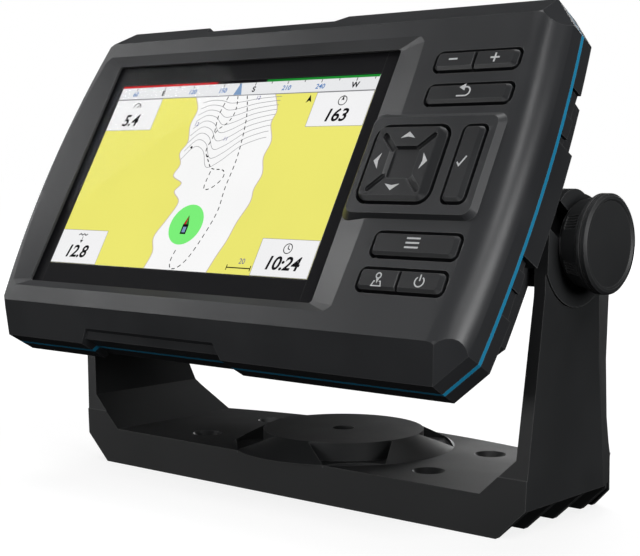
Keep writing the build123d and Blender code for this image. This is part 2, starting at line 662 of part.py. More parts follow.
def keypad_board():
    board = block(KEY_BOARD, KEY_BOARD_BACK_N, KEY_BOARD_FRONT_N, 2.0)
    holes = posts(KEY_BOARD_POSTS, SCREW_RADIUS + 0.3, KEY_BOARD_BACK_N - 1.0, KEY_BOARD_FRONT_N + 1.0)
    return cut_all(board, holes)


def keypad_board_screws():
    return screws(KEY_BOARD_POSTS, KEY_BOARD_BACK_N, INSIDE_N - 2.2)


def key_switches():
    """Snap-dome switches on the key board, one under each plunger."""
    made = []
    for u, v in all_key_posts() + dpad_posts():
        base = Pos(u, v, KEY_BOARD_FRONT_N + 0.25) * Box(4.2, 4.2, 0.5)
        made.append(base + post(u, v, 1.5, KEY_BOARD_FRONT_N, SWITCH_TOP_N))
    return made


def keypad_flex():
    """Ribbon from the key board to the main board."""
    return slab(panel((66.35, 66.65, -6.0, 6.0), 0.1), MAIN_BOARD_FRONT_N, KEY_BOARD_BACK_N)


# ---------------------------------------------------------------- head: electronics
def main_board():
    board = block(MAIN_BOARD, MAIN_BOARD_BACK_N, MAIN_BOARD_FRONT_N, 3.0)
    holes = posts(MAIN_BOARD_POSTS, SCREW_RADIUS + 0.3, MAIN_BOARD_BACK_N - 1.0, -11.0)
    return cut_all(board, holes)


def main_board_screws():
    """Screws that go in from the front, so they are the usual screw turned round."""
    made = []
    for u, v in MAIN_BOARD_POSTS:
        shank = post(u, v, SCREW_RADIUS, MAIN_BOARD_BACK_N - 6.0, MAIN_BOARD_FRONT_N)
        head = post(u, v, SCREW_HEAD_RADIUS, MAIN_BOARD_FRONT_N, MAIN_BOARD_FRONT_N + SCREW_HEAD)
        made.append(shank + head)
    return made


def shield_can():
    """Folded metal cover over the processor."""
    outside = (-20.0, 22.0, 2.0, 32.0)
    can = block(outside, MAIN_BOARD_BACK_N - 5.0, MAIN_BOARD_BACK_N, 1.5)
    return can - block(outside, MAIN_BOARD_BACK_N - 4.4, MAIN_BOARD_BACK_N + 1.0, 1.0, -0.6)


def board_chips():
    """Processor, memory and the power parts."""
    chips = {
        "processor": (-14.0, 0.0, 10.0, 24.0, 1.4),
        "memory": (5.0, 15.0, 11.0, 22.0, 1.2),
        "regulator": (38.0, 47.0, 12.0, 20.0, 3.6),
        "inductor": (50.0, 58.0, 12.0, 20.0, 4.4),
        "sonar_driver": (-46.0, -36.0, -20.0, -10.0, 2.0),
        "sonar_coil": (-46.0, -32.0, -6.0, 6.0, 6.0),
    }
    made = []
    for left, right, bottom, top, height in chips.values():
        made.append(
            block((left, right, bottom, top), MAIN_BOARD_BACK_N - height, MAIN_BOARD_BACK_N, 0.6)
        )
    return made


def gps_antenna():
    """Ceramic patch antenna behind the top edge."""
    patch = block((-52.0, -34.0, 14.0, 32.0), MAIN_BOARD_BACK_N - 4.0, MAIN_BOARD_BACK_N, 1.0)
    return patch + post(-42.0, 23.5, 1.0, MAIN_BOARD_BACK_N - 4.6, MAIN_BOARD_BACK_N - 4.0)


def sounder():
    """Key-press and alarm buzzer."""
    can = post(50.0, -4.0, 6.0, MAIN_BOARD_BACK_N - 5.0, MAIN_BOARD_BACK_N)
    return can - post(50.0, -4.0, 1.0, MAIN_BOARD_BACK_N - 6.0, MAIN_BOARD_BACK_N - 3.0)


def socket_shell(name):
    """Round panel socket with an inside flange and a keyway."""
    u, v, outside, inside, _, _ = SOCKETS[name]
    shell = post(u, v, outside, SOCKET_BACK_N, SOCKET_FRONT_N)
    shell += post(u, v, outside + 2.0, BACK_N + WALL + 0.8, BACK_N + WALL + 2.4)
    shell -= post(u, v, inside, SOCKET_BACK_N - 1.0, SOCKET_FLOOR_N)
    key_bar = Pos(u, v + inside - 0.3, (SOCKET_FLOOR_N + SOCKET_BACK_N) / 2)
    return shell + key_bar * Box(1.6, 1.4, SOCKET_FLOOR_N - SOCKET_BACK_N - 1.0)


def socket_pins(name):
    u, v, _, _, count, ring = SOCKETS[name]
    made = []
    for i in range(count):
        turn = math.radians(360 * i / count + 180 / count)
        place = (u + ring * math.cos(turn), v + ring * math.sin(turn))
        made.append(post(*place, PIN_RADIUS, PIN_BACK_N, SOCKET_FLOOR_N))
    return made


def socket_seals():
    """Rings under the sockets' flanges, against the inside of the back."""
    made = []
    for u, v, outside, *_ in SOCKETS.values():
        ring = post(u, v, outside + 1.7, BACK_N + WALL, BACK_N + WALL + 0.8)
        made.append(ring - post(u, v, outside + SCREW_GAP, BACK_N, BACK_N + WALL + 2.0))
    return made


def socket_nuts():
    """Thin six-sided nuts that hold the sockets from outside."""
    made = []
    for u, v, outside, *_ in SOCKETS.values():
        nut = slab(Pos(u, v, 0) * RegularPolygon(outside + 2.4, 6), BACK_N - 2.4, BACK_N)
        made.append(nut - post(u, v, outside + SCREW_GAP, BACK_N - 3.0, BACK_N + 1.0))
    return made


def vent_plug():
    """Breather plug that lets the case equalise."""
    stem = post(*VENT, 2.4, BACK_N, BACK_N + WALL)
    cap = post(*VENT, 4.2, BACK_N - 1.4, BACK_N)
    return stem + cap - post(*VENT, 1.2, BACK_N - 2.0, BACK_N - 0.8)


# ---------------------------------------------------------------- pivot and knobs, drawn on world X
def pivot_inserts():
    """Threaded brass bushes moulded into the rear shell's bosses."""
    made = []
    for side in (-1, 1):
        low, high = sorted((side * INSERT_X, side * BOSS_FACE_X))
        bush = rod_x(INSERT_RADIUS, low, high)
        made.append(bush - rod_x(STUD_RADIUS + STUD_GAP, low - 1.0, high + 1.0))
    return made


def pivot_washer(side):
    """Friction washer between the head's boss and the inside of the arm."""
    low, high = sorted((side * (BOSS_FACE_X + PLAY), side * (ARM_IN_TOP - PLAY)))
    washer = rod_x(WASHER_RADIUS, low, high)
    return washer - rod_x(STUD_RADIUS + STUD_GAP, low - 1.0, high + 1.0)


def knob_washer(side):
    """Metal washer between the knob and the outside of the arm."""
    low, high = sorted((side * (ARM_PAD_X + PLAY), side * (ARM_PAD_X + PLAY + KNOB_WASHER)))
    washer = rod_x(KNOB_NECK_RADIUS - 1.2, low, high)
    return washer - rod_x(STUD_RADIUS + STUD_GAP, low - 1.0, high + 1.0)


def knob(side):
    """Hand knob: grooved skirt, then a wider rim with a fine line round it and a dished face."""
    start = ARM_PAD_X + 2 * PLAY + KNOB_WASHER
    rim_x = KNOB_FACE_X - KNOB_RIM
    line_x = rim_x + 1.2
    points = [
        (start, STUD_RADIUS),
        (start, KNOB_NECK_RADIUS - 0.4),
        (start + 0.4, KNOB_NECK_RADIUS),
        (rim_x - KNOB_LINE, KNOB_WAIST_RADIUS),
        (rim_x - KNOB_LINE, KNOB_WAIST_RADIUS - KNOB_LINE),
        (rim_x, KNOB_WAIST_RADIUS - KNOB_LINE),
        (rim_x, KNOB_RIM_RADIUS - 0.3),
        (rim_x + 0.3, KNOB_RIM_RADIUS),
        (line_x, KNOB_RIM_RADIUS),
        (line_x, KNOB_RIM_RADIUS - KNOB_LINE),
        (line_x + KNOB_LINE, KNOB_RIM_RADIUS - KNOB_LINE),
        (line_x + KNOB_LINE, KNOB_RIM_RADIUS),
        (KNOB_FACE_X - 0.6, KNOB_RIM_RADIUS),
        (KNOB_FACE_X, KNOB_RIM_RADIUS - 0.7),
        (KNOB_FACE_X, KNOB_RIM_RADIUS - 1.5),
        (KNOB_FACE_X - KNOB_DISH, KNOB_RIM_RADIUS - 2.0),
        (KNOB_FACE_X - KNOB_DISH, 0.0),
        (KNOB_FACE_X - KNOB_CORE, 0.0),
        (KNOB_FACE_X - KNOB_CORE, STUD_RADIUS),
    ]
    profile = Face(Wire.make_polygon([Vector(x, 0, r) for x, r in points], close=True))
    body = revolve(profile, axis=Axis.X)
    lean = math.degrees(math.atan((KNOB_WAIST_RADIUS - KNOB_NECK_RADIUS) / (rim_x - start)))
    skirt_middle = Pos((start + rim_x) / 2, 0, (KNOB_NECK_RADIUS + KNOB_WAIST_RADIUS) / 2)
    groove = skirt_middle * Rot(0, 90 - lean, 0) * Cylinder(KNOB_GRIP_RADIUS, rim_x - start - 1.6)
    for group in range(KNOB_GRIP_GROUPS):
        for step in range(KNOB_GRIP_GROOVES):
            turn = 360 / KNOB_GRIP_GROUPS * group + KNOB_GRIP_STEP * (step - KNOB_GRIP_GROOVES // 2)
            body -= Rot(turn, 0, 0) * groove
    placed = body if side > 0 else Rot(0, 0, 180) * body
    return Pos(0, PIVOT_Y, PIVOT_Z) * placed


def knob_stud(side):
    """Threaded stud moulded into the knob, screwed into the head."""
    low, high = sorted((side * STUD_INNER_X, side * (KNOB_FACE_X - KNOB_CORE)))
    return rod_x(STUD_RADIUS, low, high)


# ---------------------------------------------------------------- bracket
def mirrored_polygon(points):
    """Closed outline in X and Z, from its right half."""
    left = [(-x, z) for x, z in reversed(points)]
    return Face(Wire.make_polygon([Vector(x, 0, z) for x, z in points + left], close=True))


def u_section():
    """The bracket seen from the front: base, chamfered corners and flared arms."""
    top = PIVOT_Z + 20.0
    return mirrored_polygon([
        (FOOT_HALF, 0.0),
        (ARM_OUT_LOW, CHAMFER_Z),
        (ARM_OUT_MID, ARM_MID_Z),
        (ARM_OUT_TOP, ARM_STRAIGHT_Z),
        (ARM_OUT_TOP, top),
        (ARM_IN_TOP, top),
        (ARM_IN_TOP, ARM_STRAIGHT_Z),
        (ARM_IN_LOW, BASE_CORNER_Z),
        (BASE_TOP_HALF, BASE_TOP),
    ])


def base_plan(inset=0.0):
    """The base seen from above: straight front, arched rear."""
    half = 96.0
    middle_y = REAR_MID_Y - inset
    edge_y = middle_y - (REAR_MID_Y - REAR_END_Y) * (half / ARM_OUT_LOW) ** 2
    edges = [
        Line((-half, FRONT_Y + inset), (half, FRONT_Y + inset)),
        Line((half, FRONT_Y + inset), (half, edge_y)),
        ThreePointArc((half, edge_y), (0, middle_y), (-half, edge_y)),
        Line((-half, edge_y), (-half, FRONT_Y + inset)),
    ]
    return Face(Wire(edges))


def side_lines(points):
    """Straight edges through points given as y and z."""
    corners = [Vector(0, y, z) for y, z in points]
    return [Edge.make_line(a, b) for a, b in zip(corners, corners[1:])]


def side_arc(start, middle, end):
    return Edge.make_three_point_arc(*[Vector(0, y, z) for y, z in (start, middle, end)])


def side_profile():
    """The bracket seen from the side, as wide as everything: tapering arm with a round top."""
    beyond, low = 60.0, -1.0
    start = [(-beyond, low), (-beyond, ARM_FRONT[0][1])] + ARM_FRONT
    rear = [ARM_SHOULDER[1]] + ARM_REAR + [(beyond, ARM_REAR[-1][1]), (beyond, low), (-beyond, low)]
    edges = side_lines(start)
    edges.append(side_arc(ARM_FRONT[-1], ARM_TOP[0], ARM_TOP[1]))
    edges.append(side_arc(ARM_TOP[1], ARM_SHOULDER[0], ARM_SHOULDER[1]))
    edges += side_lines(rear)
    return extrude(Pos(-120, 0, 0) * Face(Wire(edges)), amount=240, dir=(1, 0, 0))


def knob_slots():
    """Open slots that the studs drop into, climbing forwards from the pivot."""
    rise = math.radians(SLOT_RISE)
    middle_y = PIVOT_Y - SLOT_REACH / 2 * math.cos(rise)
    middle_z = PIVOT_Z + SLOT_REACH / 2 * math.sin(rise)
    made = []
    for side in (-1, 1):
        seat = rod_x(SLOT_WIDTH / 2, side * 90.0 - 6.0, side * 90.0 + 6.0)
        channel = Pos(side * 90.0, middle_y, middle_z) * Rot(-SLOT_RISE, 0, 0) * Box(
            12.0, SLOT_REACH, SLOT_WIDTH
        )
        made.append(seat + channel)
    return made


def disc_pockets():
    """Four tapering pockets in the skirt of the centre disc."""
    near, near_half, far, far_half = POCKET
    plan = Face(Wire.make_polygon([
        Vector(near, -near_half), Vector(far, -far_half), Vector(far, far_half),
        Vector(near, near_half),
    ], close=True))
    keep = post(0, 0, DISC_RADIUS, 0.0, DISC_TOP + 1.0)
    pocket = slab(plan, POCKET_FLOOR, DISC_TOP + 1.0) - keep
    return [Rot(0, 0, turn) * pocket for turn in (45, 135, 225, 315)]


def underside_cavities():
    """Channels between the ribs, open at both ends below the arms."""
    plan = slab(base_plan(RIB), -2.0, CAVITY_DEPTH + 2.0)
    made = []
    for i in range(CAVITIES):
        low_y = FRONT_Y + i * RIB_PITCH + (RIB if i == 0 else RIB / 2)
        high_y = FRONT_Y + (i + 1) * RIB_PITCH - RIB / 2
        if i == CAVITIES - 1:
            high_y = REAR_MID_Y
        strip = Pos(0, (low_y + high_y) / 2, CAVITY_DEPTH / 2 - 0.5) * Box(
            190.0, high_y - low_y, CAVITY_DEPTH + 1.0
        )
        made.append(strip & plan)
    return made


def arm_flats():
    """Cutters for the long flat along the outer rear edge of each arm."""
    made = []
    for side in (-1, 1):
        sections = []
        for z, (front_x, front_y), (rear_x, rear_y) in ARM_FLAT:
            run = (front_x - rear_x) / (rear_y - front_y)
            corners = [
                (front_x + run, front_y - 1.0),
                (rear_x - 2 * run, rear_y + 2.0),
                (front_x + 6.0, rear_y + 2.0),
                (front_x + 6.0, front_y - 1.0),
            ]
            points = [Vector(side * x, y, z) for x, y in corners]
            sections.append(Face(Wire.make_polygon(points, close=True)))
        made += [loft(pair, ruled=True) for pair in zip(sections, sections[1:])]
    return made


def bail_bracket():
    """One-piece moulded bracket: ribbed base, two slotted arms and the centre disc."""
    limit = side_profile()
    across = extrude(Pos(0, 80, 0) * u_section(), amount=160, dir=(0, -1, 0))
    body = across & slab(base_plan(), -1.0, 120.0) & limit
    for side in (-1, 1):
        low, high = sorted((side * ARM_IN_TOP, side * ARM_PAD_X))
        body += rod_x(ARM_PAD_RADIUS, low, high) & limit
    body += Pos(0, 0, (BASE_TOP + DISC_TOP) / 2) * Cone(
        SKIRT_RADIUS, DISC_RADIUS, DISC_TOP - BASE_TOP
    )
    body = cut_all(body, disc_pockets() + underside_cavities())
    holes = [(x, y) for x in (-BASE_HOLE_X, BASE_HOLE_X) for y in (-BASE_HOLE_Y, BASE_HOLE_Y)]
    for x, y in holes:
        body += post(x, y, BASE_BOSS_RADIUS, 0.0, BASE_TOP - 1.0)
    body += post(0, 0, CENTRE_BOSS_RADIUS, 0.0, BASE_TOP)
    body = cut_all(body, posts(holes, BASE_HOLE_RADIUS, -1.0, BASE_TOP + 2.0))
    sink = BASE_SINK_RADIUS - BASE_HOLE_RADIUS
    for x, y in holes:
        body -= Pos(x, y, BASE_TOP - sink / 2 + 0.01) * Cone(BASE_HOLE_RADIUS, BASE_SINK_RADIUS, sink)
    body -= post(0, 0, CENTRE_HOLE_RADIUS, -1.0, DISC_TOP + 1.0)
    return cut_all(body, knob_slots() + arm_flats())


# ---------------------------------------------------------------- everything, written out
def head_parts():
    """Every piece that is drawn in the head's frame."""
    parts = {
        "front_bezel": front_bezel(),
        "housing_gasket": housing_gasket(),
        "rear_cover": rear_cover(),
        "housing_screws": housing_screws(),
        "display_lens": display_lens(),
        "lens_adhesive": lens_adhesive(),
        "lcd_panel": lcd_panel(),
        "lcd_frame": lcd_frame(),
        "lcd_frame_screws": lcd_frame_screws(),
        "display_flex": display_flex(),
        "keypad_seal": keypad_seal(),
        "keypad_board": keypad_board(),
        "keypad_board_screws": keypad_board_screws(),
        "key_switches": key_switches(),
        "keypad_flex": keypad_flex(),
        "main_board": main_board(),
        "main_board_screws": main_board_screws(),
        "shield_can": shield_can(),
        "board_chips": board_chips(),
        "gps_antenna": gps_antenna(),
        "sounder": sounder(),
        "socket_seals": socket_seals(),
        "socket_nuts": socket_nuts(),
        "vent_plug": vent_plug(),
        "dpad": dpad(),
        "dpad_pivot": dpad_pivot(),
    }
    for name in SOCKETS:
        parts[name + "_socket"] = socket_shell(name)
        parts[name + "_pins"] = socket_pins(name)
    for name, spec in KEY_ROWS.items():
        surface = PAD_N if name == "key_enter" else FACE_N
        parts[name] = key(spec, surface + KEY_PROUD, surface, key_places(name, spec))
    return parts


def pivot_parts():
    """Every piece that is drawn straight in the bracket's frame."""
    parts = {"pivot_inserts": pivot_inserts(), "bail_bracket": bail_bracket()}
    for word, side in (("left", -1), ("right", 1)):
        parts["pivot_washer_" + word] = pivot_washer(side)
        parts["knob_washer_" + word] = knob_washer(side)
        parts["knob_" + word] = knob(side)
        parts["knob_stud_" + word] = knob_stud(side)
    return parts


def write(name, shape, place):
    """One STEP file for one node: a single solid, or a group of separate ones."""
    pieces = shape if isinstance(shape, list) else [shape]
    solids = []
    for piece in pieces:
        solids += (place * piece).solids()
    whole = solids[0] if len(solids) == 1 else Compound(children=solids)
    export_step(whole, os.path.join("parts", name + ".step"))


os.makedirs("parts", exist_ok=True)
for part_name, part_shape in head_parts().items():
    write(part_name, part_shape, HEAD.location)
for part_name, part_shape in pivot_parts().items():
    write(part_name, part_shape, Location())
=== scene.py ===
import json
import math
import random

import bmesh
import bpy
from mathutils import Matrix, Vector
from mathutils.geometry import tessellate_polygon


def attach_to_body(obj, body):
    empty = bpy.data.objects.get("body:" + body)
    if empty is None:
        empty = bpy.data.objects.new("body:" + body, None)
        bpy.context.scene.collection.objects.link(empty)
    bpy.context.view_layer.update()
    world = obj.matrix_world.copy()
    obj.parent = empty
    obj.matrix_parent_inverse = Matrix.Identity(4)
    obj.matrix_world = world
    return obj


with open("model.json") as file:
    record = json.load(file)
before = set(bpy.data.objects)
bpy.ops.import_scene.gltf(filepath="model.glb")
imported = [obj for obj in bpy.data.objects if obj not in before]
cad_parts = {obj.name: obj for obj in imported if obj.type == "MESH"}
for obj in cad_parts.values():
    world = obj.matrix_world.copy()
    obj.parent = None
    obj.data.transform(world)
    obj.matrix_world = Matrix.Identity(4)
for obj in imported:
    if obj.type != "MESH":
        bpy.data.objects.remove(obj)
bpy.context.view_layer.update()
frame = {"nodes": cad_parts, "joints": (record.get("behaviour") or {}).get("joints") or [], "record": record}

# ------------------------------------------------------------------ the head's own axes
# u runs right, v up the face, n out of it; u = v = 0 is the middle of the window and n = 0 the glass's front.
MM = 0.001
TILT = math.radians(29.6)         # of the face, from upright
HEAD_MID_U = 17.5                 # where the frame's middle plane, x = 0, cuts the face
PIVOT_V, PIVOT_N = -0.6, -35.85   # the knobs' axis
pivot = Vector(next(joint["pos_m"] for joint in frame["joints"] if joint["name"] == "head_tilt"))
U_DIR = Vector((1.0, 0.0, 0.0))
V_DIR = Vector((0.0, math.sin(TILT), math.cos(TILT)))
N_DIR = Vector((0.0, -math.cos(TILT), math.sin(TILT)))
head_origin = pivot - (HEAD_MID_U * U_DIR + PIVOT_V * V_DIR + PIVOT_N * N_DIR) * MM
HEAD = Matrix.Translation(head_origin) @ Matrix((U_DIR, V_DIR, N_DIR)).transposed().to_4x4()

# heights, mm: the back of the glass, and the tops of the keys that carry symbols
GLASS_BACK_N = -0.8
FACE_KEY_N = 2.85
ENTER_N = 4.35
DPAD_N = 4.6

# the lit picture, mm: its half sizes, its middle, which is a little left of and above the window's, and its
# lowest layer
PICTURE_U, PICTURE_V = 54.0, 32.4
PICTURE_MID = (-1.15, 0.55)
PICTURE_N = -1.08
LAYER = 0.02                      # each layer of the picture stands this far above the last

# the black border on the glass, mm: left, bottom, right and top edges, the middle of its opening, and the
# hairline that it leaves round the picture
BORDER_OUTER = (-62.2, -41.4, 61.2, 42.5)
BORDER_MID = (-0.98, 0.47)
BORDER_GAP = 0.22


def on_head(u, v, n):
    """A point in the head's axes, in millimetres, as a point in the frame."""
    return HEAD @ (Vector((u, v, n)) * MM)


# ------------------------------------------------------------------ materials
def new_material(name):
    material = bpy.data.materials.new(name)
    material.use_nodes = True
    tree = material.node_tree
    return material, tree, tree.nodes["Principled BSDF"]


def add(tree, kind, **values):
    """A node with its inputs or properties set by name."""
    node = tree.nodes.new(kind)
    for key, value in values.items():
        if key in node.inputs:
            node.inputs[key].default_value = value
        else:
            setattr(node, key, value)
    return node


def place(tree):
    """Object coordinates, which are the frame's own metres."""
    return add(tree, "ShaderNodeTexCoord").outputs["Object"]


def noise(tree, scale, detail=4.0, rough=0.55):
    node = add(tree, "ShaderNodeTexNoise", Scale=scale, Detail=detail, Roughness=rough)
    tree.links.new(place(tree), node.inputs["Vector"])
    return node.outputs["Fac"]


def spread(tree, value, low, high, start=0.35, end=0.65):
    """value from start..end stretched to low..high."""
    node = add(tree, "ShaderNodeMapRange")
    tree.links.new(value, node.inputs["Value"])
    for key, number in (("From Min", start), ("From Max", end), ("To Min", low), ("To Max", high)):
        node.inputs[key].default_value = number
    return node.outputs["Result"]


def mix_colour(tree, factor, one, two):
    node = add(tree, "ShaderNodeMix", data_type="RGBA")
    tree.links.new(factor, node.inputs["Factor"])
    for socket, colour in ((node.inputs[6], one), (node.inputs[7], two)):
        if isinstance(colour, (tuple, list)):
            socket.default_value = (*colour[:3], 1.0)
        else:
            tree.links.new(colour, socket)
    return node.outputs[2]


def edge_wear_and_highlight(tree, radius):
    """1 near a convex or concave edge and 0 on open faces, from the rounded normal: the mask of the paler
    edges, which are partly wear and partly a painted highlight.
    """
    bevel = add(tree, "ShaderNodeBevel", Radius=radius)
    bevel.samples = 4
    geometry = add(tree, "ShaderNodeNewGeometry")
    dot = add(tree, "ShaderNodeVectorMath", operation="DOT_PRODUCT")
    tree.links.new(bevel.outputs["Normal"], dot.inputs[0])
    tree.links.new(geometry.outputs["True Normal"], dot.inputs[1])
    return spread(tree, dot.outputs["Value"], 1.0, 0.0, 0.80, 0.99)


# colour and reach of the paler edges: partly wear, partly a painted highlight along the edges
WORN_AND_HIGHLIGHT_GREY = (0.12, 0.12, 0.12)
WEAR_AND_HIGHLIGHT_REACH = 0.0004               # metres from an edge


def moulded(name, colour, rough, grain, depth, wear_and_highlight=WORN_AND_HIGHLIGHT_GREY, specular=0.4):
    """Moulded plastic or rubber: fine grain, uneven sheen, slightly paler edges, which are partly wear and
    partly a painted highlight.
    """
    material, tree, shader = new_material(name)
    broad = noise(tree, 22.0, 3.0)
    fine = noise(tree, grain, 2.0, 0.6)
    dark = tuple(c * 0.86 for c in colour)
    base = mix_colour(tree, spread(tree, broad, 0.0, 1.0), dark, colour)
    # edges are lightened towards the paler colour: partly wear, partly a painted highlight
    worn_and_highlit = mix_colour(tree, spread(tree, edge_wear_and_highlight(tree, WEAR_AND_HIGHLIGHT_REACH), 0.0, 0.55, 0.0, 1.0), base, wear_and_highlight)
    tree.links.new(worn_and_highlit, shader.inputs["Base Color"])
    tree.links.new(spread(tree, broad, rough - 0.05, rough + 0.06), shader.inputs["Roughness"])
    bump = add(tree, "ShaderNodeBump", Strength=depth, Distance=0.00006)
    tree.links.new(fine, bump.inputs["Height"])
    tree.links.new(bump.outputs["Normal"], shader.inputs["Normal"])
    shader.inputs["Specular IOR Level"].default_value = specular
    return material


def metal(name, colour, rough):
    """Plated or turned metal with fine marks."""
    material, tree, shader = new_material(name)
    marks = noise(tree, 900.0, 2.0)
    tone = mix_colour(tree, spread(tree, marks, 0.0, 1.0), tuple(c * 0.8 for c in colour), colour)
    tree.links.new(tone, shader.inputs["Base Color"])
    tree.links.new(spread(tree, marks, rough - 0.06, rough + 0.08), shader.inputs["Roughness"])
    shader.inputs["Metallic"].default_value = 1.0
    return material


BACKLIGHT = 1.2                   # emission strength
BACKLIGHT_DIP = 0.03              # share of the light lost where it is dimmest


def lit(name, colour):
    """A colour that the display shows: it glows, with the slight unevenness of a back-light."""
    material, tree, shader = new_material(name)
    cloud = spread(tree, noise(tree, 30.0, 2.0), 0.0, 1.0)
    shade = tuple(c * (1.0 - BACKLIGHT_DIP) for c in colour)
    tone = mix_colour(tree, cloud, shade, colour)
    tree.links.new(tone, shader.inputs["Emission Color"])
    shader.inputs["Emission Strength"].default_value = BACKLIGHT
    shader.inputs["Base Color"].default_value = (0.0, 0.0, 0.0, 1.0)
    shader.inputs["Roughness"].default_value = 0.5
    shader.inputs["Specular IOR Level"].default_value = 0.0
    return material


def srgb(red, green, blue):
    """Display colour, 0 to 255, as the linear colour that a shader takes."""
    def linear(value):
        share = value / 255.0
        return share / 12.92 if share <= 0.04045 else ((share + 0.055) / 1.055) ** 2.4
    return (linear(red), linear(green), linear(blue))


def printed(name, colour):
    """Pad-printed ink with a little unevenness."""
    material, tree, shader = new_material(name)
    speck = noise(tree, 2500.0, 2.0)
    tone = mix_colour(tree, spread(tree, speck, 0.0, 1.0), tuple(c * 0.85 for c in colour), colour)
    tree.links.new(tone, shader.inputs["Base Color"])
    tree.links.new(spread(tree, speck, 0.45, 0.55), shader.inputs["Roughness"])
    return material


def clear_glass(name):
    """Cover glass: almost clear and coated against glare, with a faint smear in its gloss."""
    material, tree, shader = new_material(name)
    smear = noise(tree, 45.0, 5.0)
    tree.links.new(spread(tree, smear, 0.02, 0.05), shader.inputs["Roughness"])
    shader.inputs["Base Color"].default_value = (0.01, 0.01, 0.012, 1.0)
    shader.inputs["Alpha"].default_value = 0.10
    shader.inputs["Specular IOR Level"].default_value = 0.02
    return material


def circuit_board(name):
    """Green solder mask over faint copper."""
    material, tree, shader = new_material(name)
    copper = spread(tree, noise(tree, 420.0, 1.0), 0.0, 1.0, 0.48, 0.52)
    tone = mix_colour(tree, copper, srgb(14, 74, 40), srgb(24, 96, 52))
    tree.links.new(tone, shader.inputs["Base Color"])
    tree.links.new(spread(tree, copper, 0.30, 0.42, 0.0, 1.0), shader.inputs["Roughness"])
    return material


# a last colour, where one is given, is that of the paler edges: partly wear, partly a painted highlight
MATERIALS = {
    "housing_plastic": moulded("bezel_plastic", srgb(43, 44, 46), 0.38, 5200.0, 0.20),
    "rear_plastic": moulded("rear_plastic", srgb(33, 34, 36), 0.50, 4200.0, 0.30),
    "seal_blue": moulded("seal_blue", srgb(24, 122, 160), 0.45, 3600.0, 0.12, srgb(60, 150, 185)),
    "key_rubber": moulded("key_rubber", srgb(30, 31, 33), 0.42, 4600.0, 0.16),
    "display_glass": clear_glass("cover_glass"),
    "display_module": moulded("module_black", srgb(12, 12, 13), 0.25, 3000.0, 0.05),
    "adhesive": moulded("foam_tape", srgb(18, 18, 18), 0.8, 2500.0, 0.3),
    "tray_metal": metal("tray_metal", (0.60, 0.61, 0.62), 0.42),
    "board_laminate": circuit_board("board_laminate"),
    "ribbon": moulded("ribbon_film", srgb(150, 96, 30), 0.3, 1500.0, 0.1, srgb(180, 120, 60)),
    "chip_epoxy": moulded("chip_epoxy", srgb(30, 30, 31), 0.6, 5000.0, 0.25),
    "ceramic": moulded("antenna_ceramic", srgb(205, 190, 160), 0.55, 4000.0, 0.1, srgb(220, 210, 190)),
    "silicone": moulded("silicone", srgb(90, 92, 95), 0.6, 2600.0, 0.15, srgb(120, 120, 124)),
    "steel": metal("zinc_steel", (0.42, 0.42, 0.43), 0.34),
    "brass": metal("turned_brass", (0.66, 0.48, 0.20), 0.30),
    "contact_gold": metal("contact_gold", (0.78, 0.56, 0.22), 0.22),
    "socket_plastic": moulded("socket_nylon", srgb(26, 26, 27), 0.38, 3800.0, 0.15),
    "bracket_plastic": moulded("bracket_nylon", srgb(34, 35, 36), 0.48, 3800.0, 0.32),
    "knob_plastic": moulded("knob_rubber", srgb(32, 33, 34), 0.55, 4200.0, 0.25),
    "washer_plastic": moulded("acetal", srgb(30, 30, 31), 0.4, 3000.0, 0.1),
}

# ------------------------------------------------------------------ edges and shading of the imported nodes
# the widest bevel that a node's edges may take, mm; the node's own shortest edge clamps it far below this
KEY_EDGE = 0.22                   # the seven keys and their snap switches
SOFT_EDGES = {
    "front_bezel": 0.45,
    "rear_cover": 0.5,
    "bail_bracket": 0.5,
    "knob_left": 0.25,
    "knob_right": 0.25,
    "dpad": 0.22,
}
BEVEL_FROM = 24                   # edges that turn by more than this are rounded, degrees

# the sloped frame round the window: how far it reaches along u, and between which heights it slopes, mm
FRAME_U = (-80.0, 73.0)
FRAME_N = (0.7, 2.1)


def finish_nodes():
    """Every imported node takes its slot's material, and the moulded ones that show get softer edges."""
    slot_of = {part["node"]: part["material_slot"] for part in frame["record"]["subparts"]}
    for name, node in frame["nodes"].items():
        node.data.materials.clear()
        node.data.materials.append(MATERIALS[slot_of[name]])
        width = SOFT_EDGES.get(name, KEY_EDGE if name.startswith("key_") else 0.0)
        if width:
            soften(node, width * MM, SHADING.get(name, SMOOTH_BY_ANGLE))


def smooth_by_angle(limit, frame_limit):
    """Modifier group that shades smoothly across edges flatter than limit, in degrees.

    The sloped frame round the window keeps crisp edges: there the limit is frame_limit.
    """
    group = bpy.data.node_groups.new("smooth_by_angle", "GeometryNodeTree")
    group.interface.new_socket("Geometry", in_out="INPUT", socket_type="NodeSocketGeometry")
    group.interface.new_socket("Geometry", in_out="OUTPUT", socket_type="NodeSocketGeometry")
    start, end = add(group, "NodeGroupInput"), add(group, "NodeGroupOutput")
    faces = add(group, "GeometryNodeSetShadeSmooth", domain="FACE")
    edges = add(group, "GeometryNodeSetShadeSmooth", domain="EDGE")
    angle = add(group, "GeometryNodeInputMeshEdgeAngle")
    flatter = add(group, "FunctionNodeCompare", operation="LESS_THAN")
    allowed = add(group, "GeometryNodeSwitch", input_type="FLOAT")
    allowed.inputs["False"].default_value = math.radians(limit)
    allowed.inputs["True"].default_value = math.radians(frame_limit)
    group.links.new(in_window_frame(group), allowed.inputs["Switch"])
    group.links.new(angle.outputs["Unsigned Angle"], flatter.inputs["A"])
    group.links.new(allowed.outputs["Output"], flatter.inputs["B"])
    group.links.new(flatter.outputs["Result"], edges.inputs["Shade Smooth"])
    group.links.new(start.outputs[0], faces.inputs["Geometry"])
    group.links.new(faces.outputs["Geometry"], edges.inputs["Geometry"])
    group.links.new(edges.outputs["Geometry"], end.inputs[0])
    return group


